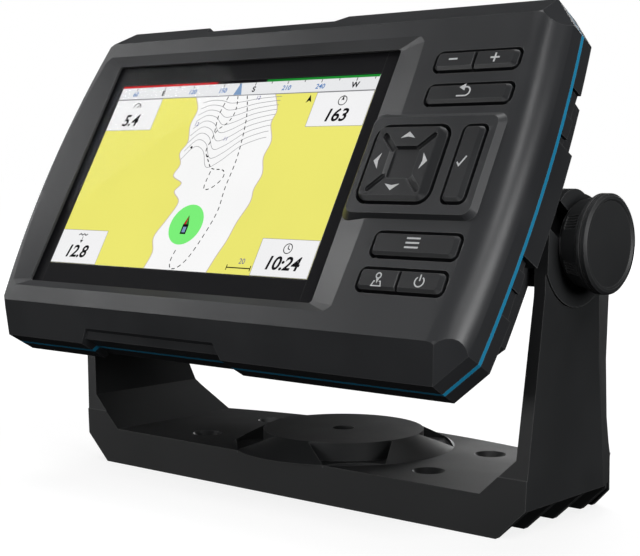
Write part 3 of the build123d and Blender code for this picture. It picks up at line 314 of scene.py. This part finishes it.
def in_window_frame(group):
    """True where an edge lies in the sloped frame round the window."""
    position = add(group, "GeometryNodeInputPosition").outputs["Position"]
    inside = None
    for direction, low, high in ((U_DIR, FRAME_U[0], FRAME_U[1]), (N_DIR, FRAME_N[0], FRAME_N[1])):
        along = add(group, "ShaderNodeVectorMath", operation="DOT_PRODUCT")
        along.inputs[1].default_value = direction
        group.links.new(position, along.inputs[0])
        start = head_origin.dot(direction)
        for operation, limit in (("GREATER_THAN", low), ("LESS_THAN", high)):
            test = add(group, "FunctionNodeCompare", operation=operation)
            test.inputs["B"].default_value = start + limit * MM
            group.links.new(along.outputs["Value"], test.inputs["A"])
            if inside is None:
                inside = test.outputs["Result"]
                continue
            both = add(group, "FunctionNodeBooleanMath", operation="AND")
            group.links.new(inside, both.inputs[0])
            group.links.new(test.outputs["Result"], both.inputs[1])
            inside = both.outputs[0]
    return inside


SMOOTH_BY_ANGLE = smooth_by_angle(26.0, 6.5)
SHADING = {"bail_bracket": smooth_by_angle(9.0, 9.0)}


def soften(node, width, shading):
    """A slight bevel and even shading on a node's edges, without touching its own mesh."""
    weld = node.modifiers.new("weld", "WELD")
    weld.merge_threshold = 1e-6
    bevel = node.modifiers.new("bevel", "BEVEL")
    bevel.width = width
    bevel.segments = 2
    bevel.limit_method = "ANGLE"
    bevel.angle_limit = math.radians(BEVEL_FROM)
    bevel.miter_outer = "MITER_ARC"
    node.modifiers.new("shading", "NODES").node_group = shading
    normals = node.modifiers.new("normals", "WEIGHTED_NORMAL")
    normals.weight = 80
    normals.keep_sharp = True


# ------------------------------------------------------------------ flat pieces on the head
# A shape is its outline, or a pair of its outline and the faces that fill it, where that is known.
def plate(name, shapes, low, high, material, body="head", shift=(0.0, 0.0)):
    """A thin piece with the given shapes, from low to high, as one object."""
    mesh = bpy.data.meshes.new(name)
    solid = bmesh.new()
    for shape in shapes:
        points, faces = shape if isinstance(shape, tuple) else (shape, filled(shape))
        places = [(u + shift[0], v + shift[1]) for u, v in points]
        top = [solid.verts.new(on_head(u, v, high)) for u, v in places]
        bottom = [solid.verts.new(on_head(u, v, low)) for u, v in places]
        for face in faces:
            solid.faces.new([top[i] for i in face])
            solid.faces.new([bottom[i] for i in reversed(face)])
        for i in range(len(points)):
            j = (i + 1) % len(points)
            solid.faces.new((bottom[i], bottom[j], top[j], top[i]))
    bmesh.ops.recalc_face_normals(solid, faces=solid.faces)
    solid.to_mesh(mesh)
    solid.free()
    return attach(name, mesh, material, body)


def filled(outline):
    """Triangles that fill an outline, as its points' numbers."""
    return tessellate_polygon([[Vector((u, v, 0.0)) for u, v in outline]])


def attach(name, mesh, material, body):
    """A mesh made into a piece of the object that rides on a body."""
    piece = bpy.data.objects.new(name, mesh)
    bpy.context.scene.collection.objects.link(piece)
    mesh.materials.append(material)
    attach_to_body(piece, body)
    return piece


def rect(left, bottom, right, top):
    return [(left, bottom), (right, bottom), (right, top), (left, top)]


def ribbon(left, right):
    """The strip between two lines that have as many points."""
    last = 2 * len(left) - 1
    faces = [(i, i + 1, last - i - 1, last - i) for i in range(len(left) - 1)]
    return left + right[::-1], faces


def ring_arc(centre, radius, width, start, end, steps=32):
    """Part of a flat ring, from one angle to another, in degrees."""
    angles = [math.radians(start + (end - start) * i / steps) for i in range(steps + 1)]
    sides = []
    for reach in (radius + width / 2, radius - width / 2):
        sides.append([(centre[0] + reach * math.cos(a), centre[1] + reach * math.sin(a)) for a in angles])
    return ribbon(*sides)


def disc(centre, radius, steps=48):
    turns = [2 * math.pi * i / steps for i in range(steps)]
    return [(centre[0] + radius * math.cos(a), centre[1] + radius * math.sin(a)) for a in turns]


def stroke(points, width):
    """A line of even width along the points, with mitred corners."""
    left, right = [], []
    runs = [Vector((b[0] - a[0], b[1] - a[1])).normalized() for a, b in zip(points, points[1:])]
    for i, point in enumerate(points):
        before, after = runs[max(i - 1, 0)], runs[min(i, len(runs) - 1)]
        across = Vector((-before.y - after.y, before.x + after.x)).normalized()
        reach = width / 2 / max(0.4, across.dot(Vector((-after.y, after.x))))
        left.append((point[0] + across.x * reach, point[1] + across.y * reach))
        right.append((point[0] - across.x * reach, point[1] - across.y * reach))
    return ribbon(left, right)


def smooth(points, steps=6):
    """Catmull-Rom curve through the points."""
    padded = [points[0]] + list(points) + [points[-1]]
    out = []
    for a, b, c, d in zip(padded, padded[1:], padded[2:], padded[3:]):
        for i in range(steps):
            t = i / steps
            out.append(tuple(
                0.5 * (2 * q + (r - p) * t + (2 * p - 5 * q + 4 * r - s) * t * t
                       + (3 * q - p - 3 * r + s) * t ** 3)
                for p, q, r, s in zip(a, b, c, d)))
    return out + [tuple(points[-1])]


def dashes(points, width, dash, gap):
    """A dashed line along a smooth run of points."""
    pieces, current, travelled, drawing = [], [points[0]], 0.0, True
    for a, b in zip(points, points[1:]):
        length = math.dist(a, b)
        done = 0.0
        while length - done > 1e-4:
            left = (dash if drawing else gap) - travelled
            step = min(left, length - done)
            done += step
            travelled += step
            t = done / length
            here = (a[0] + (b[0] - a[0]) * t, a[1] + (b[1] - a[1]) * t)
            if drawing and math.dist(here, current[-1]) > 1e-3:
                current.append(here)
            if travelled >= (dash if drawing else gap) - 1e-6:
                if drawing and len(current) > 1:
                    pieces.append(stroke(current, width))
                drawing, travelled, current = not drawing, 0.0, [here]
    return pieces


FIGURE_THICK = 0.016              # a little less than a layer, mm


def lettering(name, entries, n, material, heavy=0.0):
    """Figures on the screen as thin solid shapes: entries are (words, u, v, size, slant)."""
    parts = bmesh.new()
    for words, u, v, size, slant in entries:
        curve = bpy.data.curves.new(name, "FONT")
        curve.body = words
        curve.size = size * MM
        curve.align_x = "CENTER"
        curve.align_y = "CENTER"
        curve.shear = slant
        curve.extrude = FIGURE_THICK / 2 * MM
        curve.offset = heavy * MM
        curve.resolution_u = 4
        text = bpy.data.objects.new(name, curve)
        bpy.context.scene.collection.objects.link(text)
        bpy.context.view_layer.update()
        made = bpy.data.meshes.new_from_object(text)
        place_at = Vector((u + PICTURE_MID[0], v + PICTURE_MID[1], n)) * MM
        made.transform(HEAD @ Matrix.Translation(place_at))
        parts.from_mesh(made)
        bpy.data.objects.remove(text)
        bpy.data.curves.remove(curve)
        bpy.data.meshes.remove(made)
    mesh = bpy.data.meshes.new(name)
    parts.to_mesh(mesh)
    parts.free()
    return attach(name, mesh, material, "head")


# ------------------------------------------------------------------ what the screen shows
INK = {
    "water": lit("shown_water", srgb(253, 253, 253)),
    "land": lit("shown_land", srgb(240, 235, 116)),
    "shore": lit("shown_shore", srgb(205, 190, 180)),
    "black": lit("shown_black", srgb(18, 18, 20)),
    "grey": lit("shown_grey", srgb(132, 132, 136)),
    "blue": lit("shown_blue", srgb(58, 118, 186)),
    "violet": lit("shown_violet", srgb(70, 66, 150)),
    "green": lit("shown_green", srgb(126, 244, 124)),
    "bar_red": lit("shown_bar_red", srgb(196, 40, 44)),
    "bar_green": lit("shown_bar_green", srgb(30, 140, 50)),
    "pointer": lit("shown_pointer", srgb(128, 158, 196)),
    "box": lit("shown_box", srgb(246, 246, 247)),
    "tape": lit("shown_tape", srgb(236, 237, 239)),
}
# the compass tape: its edges, where south stands, the way between two bearings, and the letters' middle
TAPE_LOW, TAPE_HIGH = 27.2, 31.6
SOUTH_U, BEARING_STEP, BEARING_V = 6.2, 13.25, 29.1
# the corner boxes: their inner sides, the lower edge of the upper two and the upper edge of the lower two
BOX_INNER_U, BOX_TOP_V, BOX_LOW_V = 32.7, 15.5, -20.7
TAPE_LINE, BOX_LINE = 0.15, 0.12  # half width of the line under the tape, and width of a box's frame
RING = (0, 359)                   # a ring's start and end, which don't quite meet


def shown(name, outlines, level, ink):
    """A layer of the picture."""
    low = PICTURE_N + level * LAYER
    return plate(name, outlines, low, low + LAYER, INK[ink], "head", PICTURE_MID)


def wobble(points, size, seed):
    """A bank line with small natural irregularities."""
    chance = random.Random(seed)
    return [(u + chance.uniform(-size, size), v) for u, v in points]


LEFT_BANK = [(-17.5, 27.2), (-14.8, 22.5), (-15.2, 17.0), (-13.4, 11.0), (-15.0, 7.0), (-12.4, 3.0),
             (-13.4, -1.0), (-9.2, -3.5), (-10.4, -6.5), (-6.8, -10.0), (-9.4, -16.0), (-11.6, -22.0),
             (-9.8, -27.0), (-10.6, -32.4)]
RIGHT_BANK = [(16.2, 27.2), (19.4, 21.5), (18.8, 17.0), (21.8, 11.0), (21.2, 5.5), (23.0, 0.0),
              (21.6, -5.0), (22.2, -9.5), (20.0, -16.0), (19.2, -22.0), (17.2, -27.0), (15.8, -32.4)]


def draw_chart():
    """The map: land either side of a channel, depth lines, a travelled track and the boat."""
    left = smooth(wobble(LEFT_BANK, 0.35, 3), 5)
    right = smooth(wobble(RIGHT_BANK, 0.35, 4), 5)
    shown("chart_water", [rect(-PICTURE_U, -PICTURE_V, PICTURE_U, PICTURE_V)], 0, "water")
    land_left = [(-PICTURE_U, -PICTURE_V), (-PICTURE_U, TAPE_LOW)] + left
    land_right = [(PICTURE_U, TAPE_LOW), (PICTURE_U, -PICTURE_V)] + right[::-1]
    shown("chart_land", [land_left, land_right], 1, "land")
    shown("chart_shore", [stroke(left, 0.3), stroke(right, 0.3)], 2, "shore")
    shown("chart_depth_lines", depth_lines(), 2, "grey")
    shown("chart_track", track_lines(), 3, "black")
    shown("chart_range_disc", [disc((0.0, -17.4), 6.7)], 2, "green")
    boat()
    shown("chart_scale_bar", [
        rect(22.9, -30.55, 32.1, -30.2),
        rect(22.7, -31.2, 23.0, -29.5),
        rect(31.9, -31.2, 32.2, -29.5),
    ], 3, "black")
    shown("chart_north_arrow", [[(29.4, 23.6), (30.4, 26.4), (31.5, 23.8), (30.5, 24.4)]], 3, "black")
    shown("chart_mark", [disc((-10.8, 9.0), 0.45, 16), disc((-2.2, 5.8), 0.35, 12)], 3, "black")


def depth_lines():
    """Contours that crowd together towards the top of the channel."""
    lines = []
    for i in range(9):
        v = 25.6 - 1.75 * i - 0.05 * i * i
        dip = 0.7 + 0.42 * i
        points = [
            (-13.4, v - 0.9 * dip), (-9.5, v + 0.2 * dip), (-5.0, v - 0.2 * dip), (-1.2, v - 1.55 * dip),
            (3.4, v - 1.1 * dip), (9.5, v + 0.15 * dip), (15.5, v + 0.75 * dip), (19.0, v + 0.95 * dip),
        ]
        points = [p for p in smooth(points, 6) if p[1] < 26.9]
        if len(points) > 3:
            lines.append(stroke(points, 0.16))
    return lines


def track_lines():
    """Dashed trail: down the channel, round a loop, and back past the boat."""
    down = smooth([(-3.4, 26.9), (-4.4, 20.0), (-3.2, 13.0), (-3.9, 8.0), (-1.0, 4.0), (1.6, 1.6),
                   (6.6, 1.0), (7.6, -1.6), (4.6, -4.9), (1.4, -5.0), (1.6, 1.4)], 6)
    across = smooth([(4.5, 26.9), (7.5, 20.0), (9.4, 12.0), (10.4, 4.0), (10.2, -5.0), (10.8, -13.0),
                     (8.6, -22.0), (6.0, -28.5), (3.0, -31.6), (0.4, -31.7), (-0.6, -29.0), (0.2, -24.6)], 6)
    spur = smooth([(0.6, 26.9), (2.0, 22.0), (1.0, 18.0), (-2.4, 15.0), (-3.4, 12.4)], 5)
    return (dashes(down, 0.32, 1.3, 1.0) + dashes(across, 0.32, 1.3, 1.0) + dashes(spur, 0.32, 1.1, 0.9))


def boat():
    """The vessel symbol with its red and green bow."""
    hull = [(-1.15, -20.6), (1.15, -20.6), (1.2, -17.6), (0.0, -14.3), (-1.2, -17.6)]
    cabin = [(-0.65, -20.0), (0.65, -20.0), (0.6, -18.2), (-0.6, -18.2)]
    shown("chart_boat_hull", [hull], 3, "black")
    shown("chart_boat_cabin", [cabin], 4, "pointer")
    shown("chart_boat_port", [[(0.0, -14.7), (-0.9, -17.3), (0.0, -17.3)]], 4, "bar_red")
    shown("chart_boat_starboard", [[(0.0, -14.7), (0.0, -17.3), (0.9, -17.3)]], 4, "bar_green")


def draw_compass_tape():
    """The heading tape along the top edge, with its coloured bar, ticks and pointer."""
    shown("tape_ground", [rect(-PICTURE_U, TAPE_LOW, PICTURE_U, TAPE_HIGH)], 2, "tape")
    line = rect(-PICTURE_U, TAPE_LOW - TAPE_LINE, PICTURE_U, TAPE_LOW + TAPE_LINE)
    shown("tape_lower_line", [line], 3, "grey")
    shown("tape_bar_red", [rect(-PICTURE_U, TAPE_HIGH, -10.4, PICTURE_V)], 3, "bar_red")
    shown("tape_bar_black", [rect(-10.4, TAPE_HIGH, 10.5, PICTURE_V)], 3, "black")
    shown("tape_bar_green", [rect(10.5, TAPE_HIGH, PICTURE_U, PICTURE_V)], 3, "bar_green")
    ticks = []
    for i in range(-8, 9):
        u = SOUTH_U + BEARING_STEP / 2 * i
        reach = 1.1 if i % 2 == 0 else 0.7
        if abs(u) < PICTURE_U - 0.4:
            ticks.append(rect(u - 0.12, TAPE_HIGH - reach, u + 0.12, TAPE_HIGH))
    shown("tape_ticks", ticks, 3, "black")
    shown("tape_pointer", [[(-1.7, TAPE_LOW + 0.2), (1.7, TAPE_LOW + 0.2), (0.2, 31.5), (-0.2, 31.5)]],
          4, "pointer")
    numerals = [(str(180 + 30 * i), SOUTH_U + BEARING_STEP * i, BEARING_V, 2.3, 0.15)
                for i in (-4, -2, -1, 1, 2)]
    cardinals = [(letter, SOUTH_U + BEARING_STEP * i, BEARING_V, 2.6, 0.0)
                 for letter, i in (("E", -3), ("S", 0), ("W", 3))]
    lettering("tape_numerals", numerals, PICTURE_N + 3.5 * LAYER, INK["blue"], 0.04)
    lettering("tape_cardinals", cardinals, PICTURE_N + 3.5 * LAYER, INK["black"], 0.09)


def draw_data_boxes():
    """Four white read-outs in the corners: a figure and a small picture of what it measures."""
    boxes = [(left, bottom, right, top)
             for bottom, top in ((BOX_TOP_V, TAPE_LOW - TAPE_LINE), (-PICTURE_V, BOX_LOW_V))
             for left, right in ((-PICTURE_U, -BOX_INNER_U), (BOX_INNER_U, PICTURE_U))]
    shown("box_grounds", [rect(*box) for box in boxes], 4, "box")
    frames = []
    for left, bottom, right, top in boxes:
        frames += [
            rect(left, bottom, right, bottom + BOX_LINE),
            rect(left, top - BOX_LINE, right, top),
            rect(left, bottom, left + BOX_LINE, top),
            rect(right - BOX_LINE, bottom, right, top),
        ]
    shown("box_frames", frames, 5, "grey")
    figures = [("5.4", -44.0, 19.0, 5.8, 0.2), ("163", 42.6, 19.0, 5.8, 0.2),
               ("12.8", -44.0, -28.4, 5.8, 0.2), ("10:24", 43.0, -28.4, 5.8, 0.2)]
    lettering("box_figures", figures, PICTURE_N + 5.5 * LAYER, INK["black"], 0.14)
    shown("box_symbols", box_symbols(), 5, "black")
    lettering("chart_spot_depths", [("12", 9.5, 26.0, 1.9, 0.1), ("12", -12.6, 17.2, 1.9, 0.1),
                                    ("11", 2.4, 11.8, 1.9, 0.1), ("20", 28.0, -28.3, 2.4, 0.0)],
              PICTURE_N + 3.5 * LAYER, INK["violet"])


def box_symbols():
    """Speed dial, compass rose, sounding line and clock, above the four figures."""
    dial_c, rose_c, clock_c = (-43.4, 24.0), (43.4, 24.0), (43.4, -23.6)
    dial = [ring_arc(dial_c, 1.6, 0.3, 0, 180), stroke([dial_c, (-42.4, 25.1)], 0.35)]
    rose = [ring_arc(rose_c, 1.5, 0.28, *RING),
            [(43.4, 25.9), (43.9, 24.0), (43.4, 24.3), (42.9, 24.0)]]
    wave = smooth([(-45.6, -22.6), (-44.8, -22.1), (-44.0, -22.6), (-43.2, -22.1), (-42.4, -22.6),
                   (-41.6, -22.1)], 4)
    depth = [stroke(wave, 0.32), rect(-43.5, -24.6, -43.3, -23.0),
             [(-44.1, -24.3), (-42.7, -24.3), (-43.4, -25.3)]]
    clock = [ring_arc(clock_c, 1.5, 0.28, *RING), stroke([clock_c, (43.4, -22.5)], 0.3),
             stroke([clock_c, (44.2, -23.9)], 0.3)]
    return dial + rose + depth + clock


def draw_glass_border():
    """Black border printed on the back of the glass, with a hairline gap round the picture."""
    left, bottom, right, top = BORDER_OUTER
    half_u, half_v = PICTURE_U + BORDER_GAP, PICTURE_V + BORDER_GAP
    open_left, open_right = BORDER_MID[0] - half_u, BORDER_MID[0] + half_u
    open_bottom, open_top = BORDER_MID[1] - half_v, BORDER_MID[1] + half_v
    strips = [
        rect(left, bottom, open_left, top),
        rect(open_right, bottom, right, top),
        rect(open_left, open_top, open_right, top),
        rect(open_left, bottom, open_right, open_bottom),
    ]
    border = moulded("border_ink", srgb(26, 26, 28), 0.6, 2500.0, 0.04, specular=0.1)
    plate("glass_border_ink", strips, GLASS_BACK_N - 0.1, GLASS_BACK_N - 0.02, border, "head")


# ------------------------------------------------------------------ symbols on the keys
KEY_INK = printed("key_ink", srgb(196, 197, 198))
INK_ROOT, INK_THICK = 0.02, 0.05  # how far the ink goes into the key's top and stands above it, mm
KEY_INK_SHIFT = (-0.5, 0.24)      # every symbol stands this far left of and above the places below


def symbol(name, outlines, top_n, body):
    """A symbol printed on the top of a key."""
    low, high = top_n - INK_ROOT, top_n + INK_THICK
    return plate(name, outlines, low, high, KEY_INK, body, KEY_INK_SHIFT)


def draw_key_symbols():
    """Minus, plus, back arrow, tick, menu bars, marked person, power ring and the four arrowheads."""
    symbol("symbol_minus", [rect(78.9, 33.5, 81.7, 34.0)], FACE_KEY_N, "key_zoom_out")
    symbol("symbol_plus", [
        rect(92.4, 33.35, 95.2, 33.85),
        rect(93.55, 33.85, 94.05, 35.0),
        rect(93.55, 32.2, 94.05, 33.35),
    ], FACE_KEY_N, "key_zoom_in")
    hook = [(85.4, 22.0), (88.0, 22.0)] + [
        (88.0 + 1.35 * math.cos(a), 23.35 + 1.35 * math.sin(a))
        for a in (math.radians(-75 + 165 * i / 10) for i in range(11))
    ] + [(86.9, 24.7)]
    symbol("symbol_back", [stroke(hook, 0.42), [(85.6, 24.65), (87.5, 23.6), (87.5, 25.75)]],
           FACE_KEY_N, "key_back")
    symbol("symbol_check", [stroke([(94.1, 1.1), (94.9, 0.1), (96.5, 2.9)], 0.42)], ENTER_N, "key_enter")
    symbol("symbol_menu", [rect(85.3, v - 0.24, 89.6, v + 0.24) for v in (-20.35, -21.65, -22.95)],
           FACE_KEY_N, "key_menu")
    symbol("symbol_mark", [
        ring_arc((80.4, -31.3), 0.75, 0.36, *RING),
        [(79.85, -31.9), (80.95, -31.9), (80.4, -33.5)],
        stroke([(79.75, -32.9), (79.4, -32.9), (78.9, -34.2), (81.9, -34.2), (81.5, -32.9), (81.05, -32.9)],
               0.32),
    ], FACE_KEY_N, "key_mark")
    symbol("symbol_power", [ring_arc((93.6, -32.3), 1.4, 0.36, 125, 415), rect(93.42, -32.1, 93.78, -30.3)],
           FACE_KEY_N, "key_power")
    symbol("symbol_arrows", arrow_wedges(), DPAD_N, "dpad")


def arrow_wedges():
    """Four arrowheads with hollow backs, pointing out from the rocker key's middle."""
    middle = Vector((75.85, 1.35))
    head = [(8.85, 0.0), (6.9, 2.4), (7.35, 0.0), (6.9, -2.4)]
    made = []
    for turn in range(4):
        spin = Matrix.Rotation(math.radians(90 * turn), 2)
        made.append([tuple(middle + spin @ Vector(p)) for p in head])
    return made


# ------------------------------------------------------------------ floor, light and camera
LIT_MIDDLE = Vector((0.0, -0.03, 0.08))
SOFT_BOXES = {
    # name: its place in metres, its width and height in metres, and its power in watts
    "top": ((-0.15, 0.1, 1.1), (0.9, 0.6), 6.0),
    "back_left": ((-1.2, 0.48, 0.46), (0.4, 0.3), 0.6),
    "soft_left": ((-0.98, -0.40, 0.74), (0.12, 0.4), 2.6),
    "low_left": ((-0.7, -0.9, 0.15), (0.4, 0.2), 2.5),
    "strip_right": ((0.78, -0.50, 0.86), (0.12, 0.6), 4.0),
    "fill_front": ((0.1, -1.3, 0.3), (0.9, 0.4), 3.5),
    "fill_right": ((1.3, -0.2, 0.33), (0.7, 0.5), 13.0),
    "fill_back": ((-0.35, 1.25, 0.2), (0.8, 0.4), 4.0),
}
FLOOR_REACH = 6.0
FLOOR_GLOW = (0.80, 1.0)          # painted glow near the object and further out: the floor shines in place of being lit, dimmer near the object as a painted shade
FLOOR_GLOW_FROM = (0.15, 0.8)     # metres from the origin between which it grows
CAMERA_PLACE = (0.2904, -0.3503, 0.1007)
CAMERA_TURN, CAMERA_DIP = 40.6, 4.57
CAMERA_LENS = 81.28


def make_lights():
    """Soft boxes round the object, all turned to its middle."""
    for name, (place_at, size, power) in SOFT_BOXES.items():
        data = bpy.data.lights.new(name, "AREA")
        data.shape = "RECTANGLE"
        data.size, data.size_y = size
        data.energy = power
        light = bpy.data.objects.new(name, data)
        bpy.context.scene.collection.objects.link(light)
        light.location = place_at
        light.rotation_euler = (LIT_MIDDLE - Vector(place_at)).to_track_quat("-Z", "Y").to_euler()


def make_surroundings():
    """White all round, which only the camera sees."""
    world = bpy.data.worlds.new("studio")
    bpy.context.scene.world = world
    world.use_nodes = True
    world.node_tree.nodes["Background"].inputs["Color"].default_value = (1.0, 1.0, 1.0, 1.0)
    seen = world.cycles_visibility
    seen.diffuse = seen.glossy = seen.transmission = seen.scatter = False


def floor_painted_glow():
    """Pale floor that glows in place of being lit, a painted light: the glow is weaker near the object, a
    painted shade round it where it also takes real shadows, and grows to white further out.
    """
    material, tree, shader = new_material("floor_painted_glow")
    shader.inputs["Base Color"].default_value = (0.30, 0.30, 0.30, 1.0)
    shader.inputs["Roughness"].default_value = 0.9
    shader.inputs["Specular IOR Level"].default_value = 0.0
    shader.inputs["Emission Color"].default_value = (1.0, 1.0, 1.0, 1.0)
    away = add(tree, "ShaderNodeVectorMath", operation="LENGTH")
    tree.links.new(place(tree), away.inputs[0])
    # the glow grows with distance from the origin: painted light far out, painted shade near the object
    glow = spread(tree, away.outputs["Value"], *FLOOR_GLOW, *FLOOR_GLOW_FROM)
    tree.links.new(glow, shader.inputs["Emission Strength"])
    return material


def make_floor():
    """The surface that the object stands on; it isn't part of the object."""
    mesh = bpy.data.meshes.new("floor")
    corners = [(u, v, 0.0) for u, v in rect(-FLOOR_REACH, -FLOOR_REACH, FLOOR_REACH, FLOOR_REACH)]
    mesh.from_pydata(corners, [], [(0, 1, 2, 3)])
    mesh.materials.append(floor_painted_glow())
    floor = bpy.data.objects.new("floor", mesh)
    bpy.context.scene.collection.objects.link(floor)
    floor.visible_diffuse = False
    floor.visible_glossy = False


def make_camera():
    """The camera stands right of and a little above the middle, with a long lens."""
    data = bpy.data.cameras.new("camera")
    data.lens = CAMERA_LENS
    data.sensor_width = 36.0
    data.clip_start, data.clip_end = 0.01, 50.0
    camera = bpy.data.objects.new("camera", data)
    bpy.context.scene.collection.objects.link(camera)
    camera.location = CAMERA_PLACE
    camera.rotation_euler = (math.radians(90 - CAMERA_DIP), 0.0, math.radians(CAMERA_TURN))
    bpy.context.scene.camera = camera


finish_nodes()
draw_glass_border()
draw_chart()
draw_compass_tape()
draw_data_boxes()
draw_key_symbols()
make_surroundings()
make_floor()
make_lights()
make_camera()
bpy.context.scene.view_settings.view_transform = "Standard"
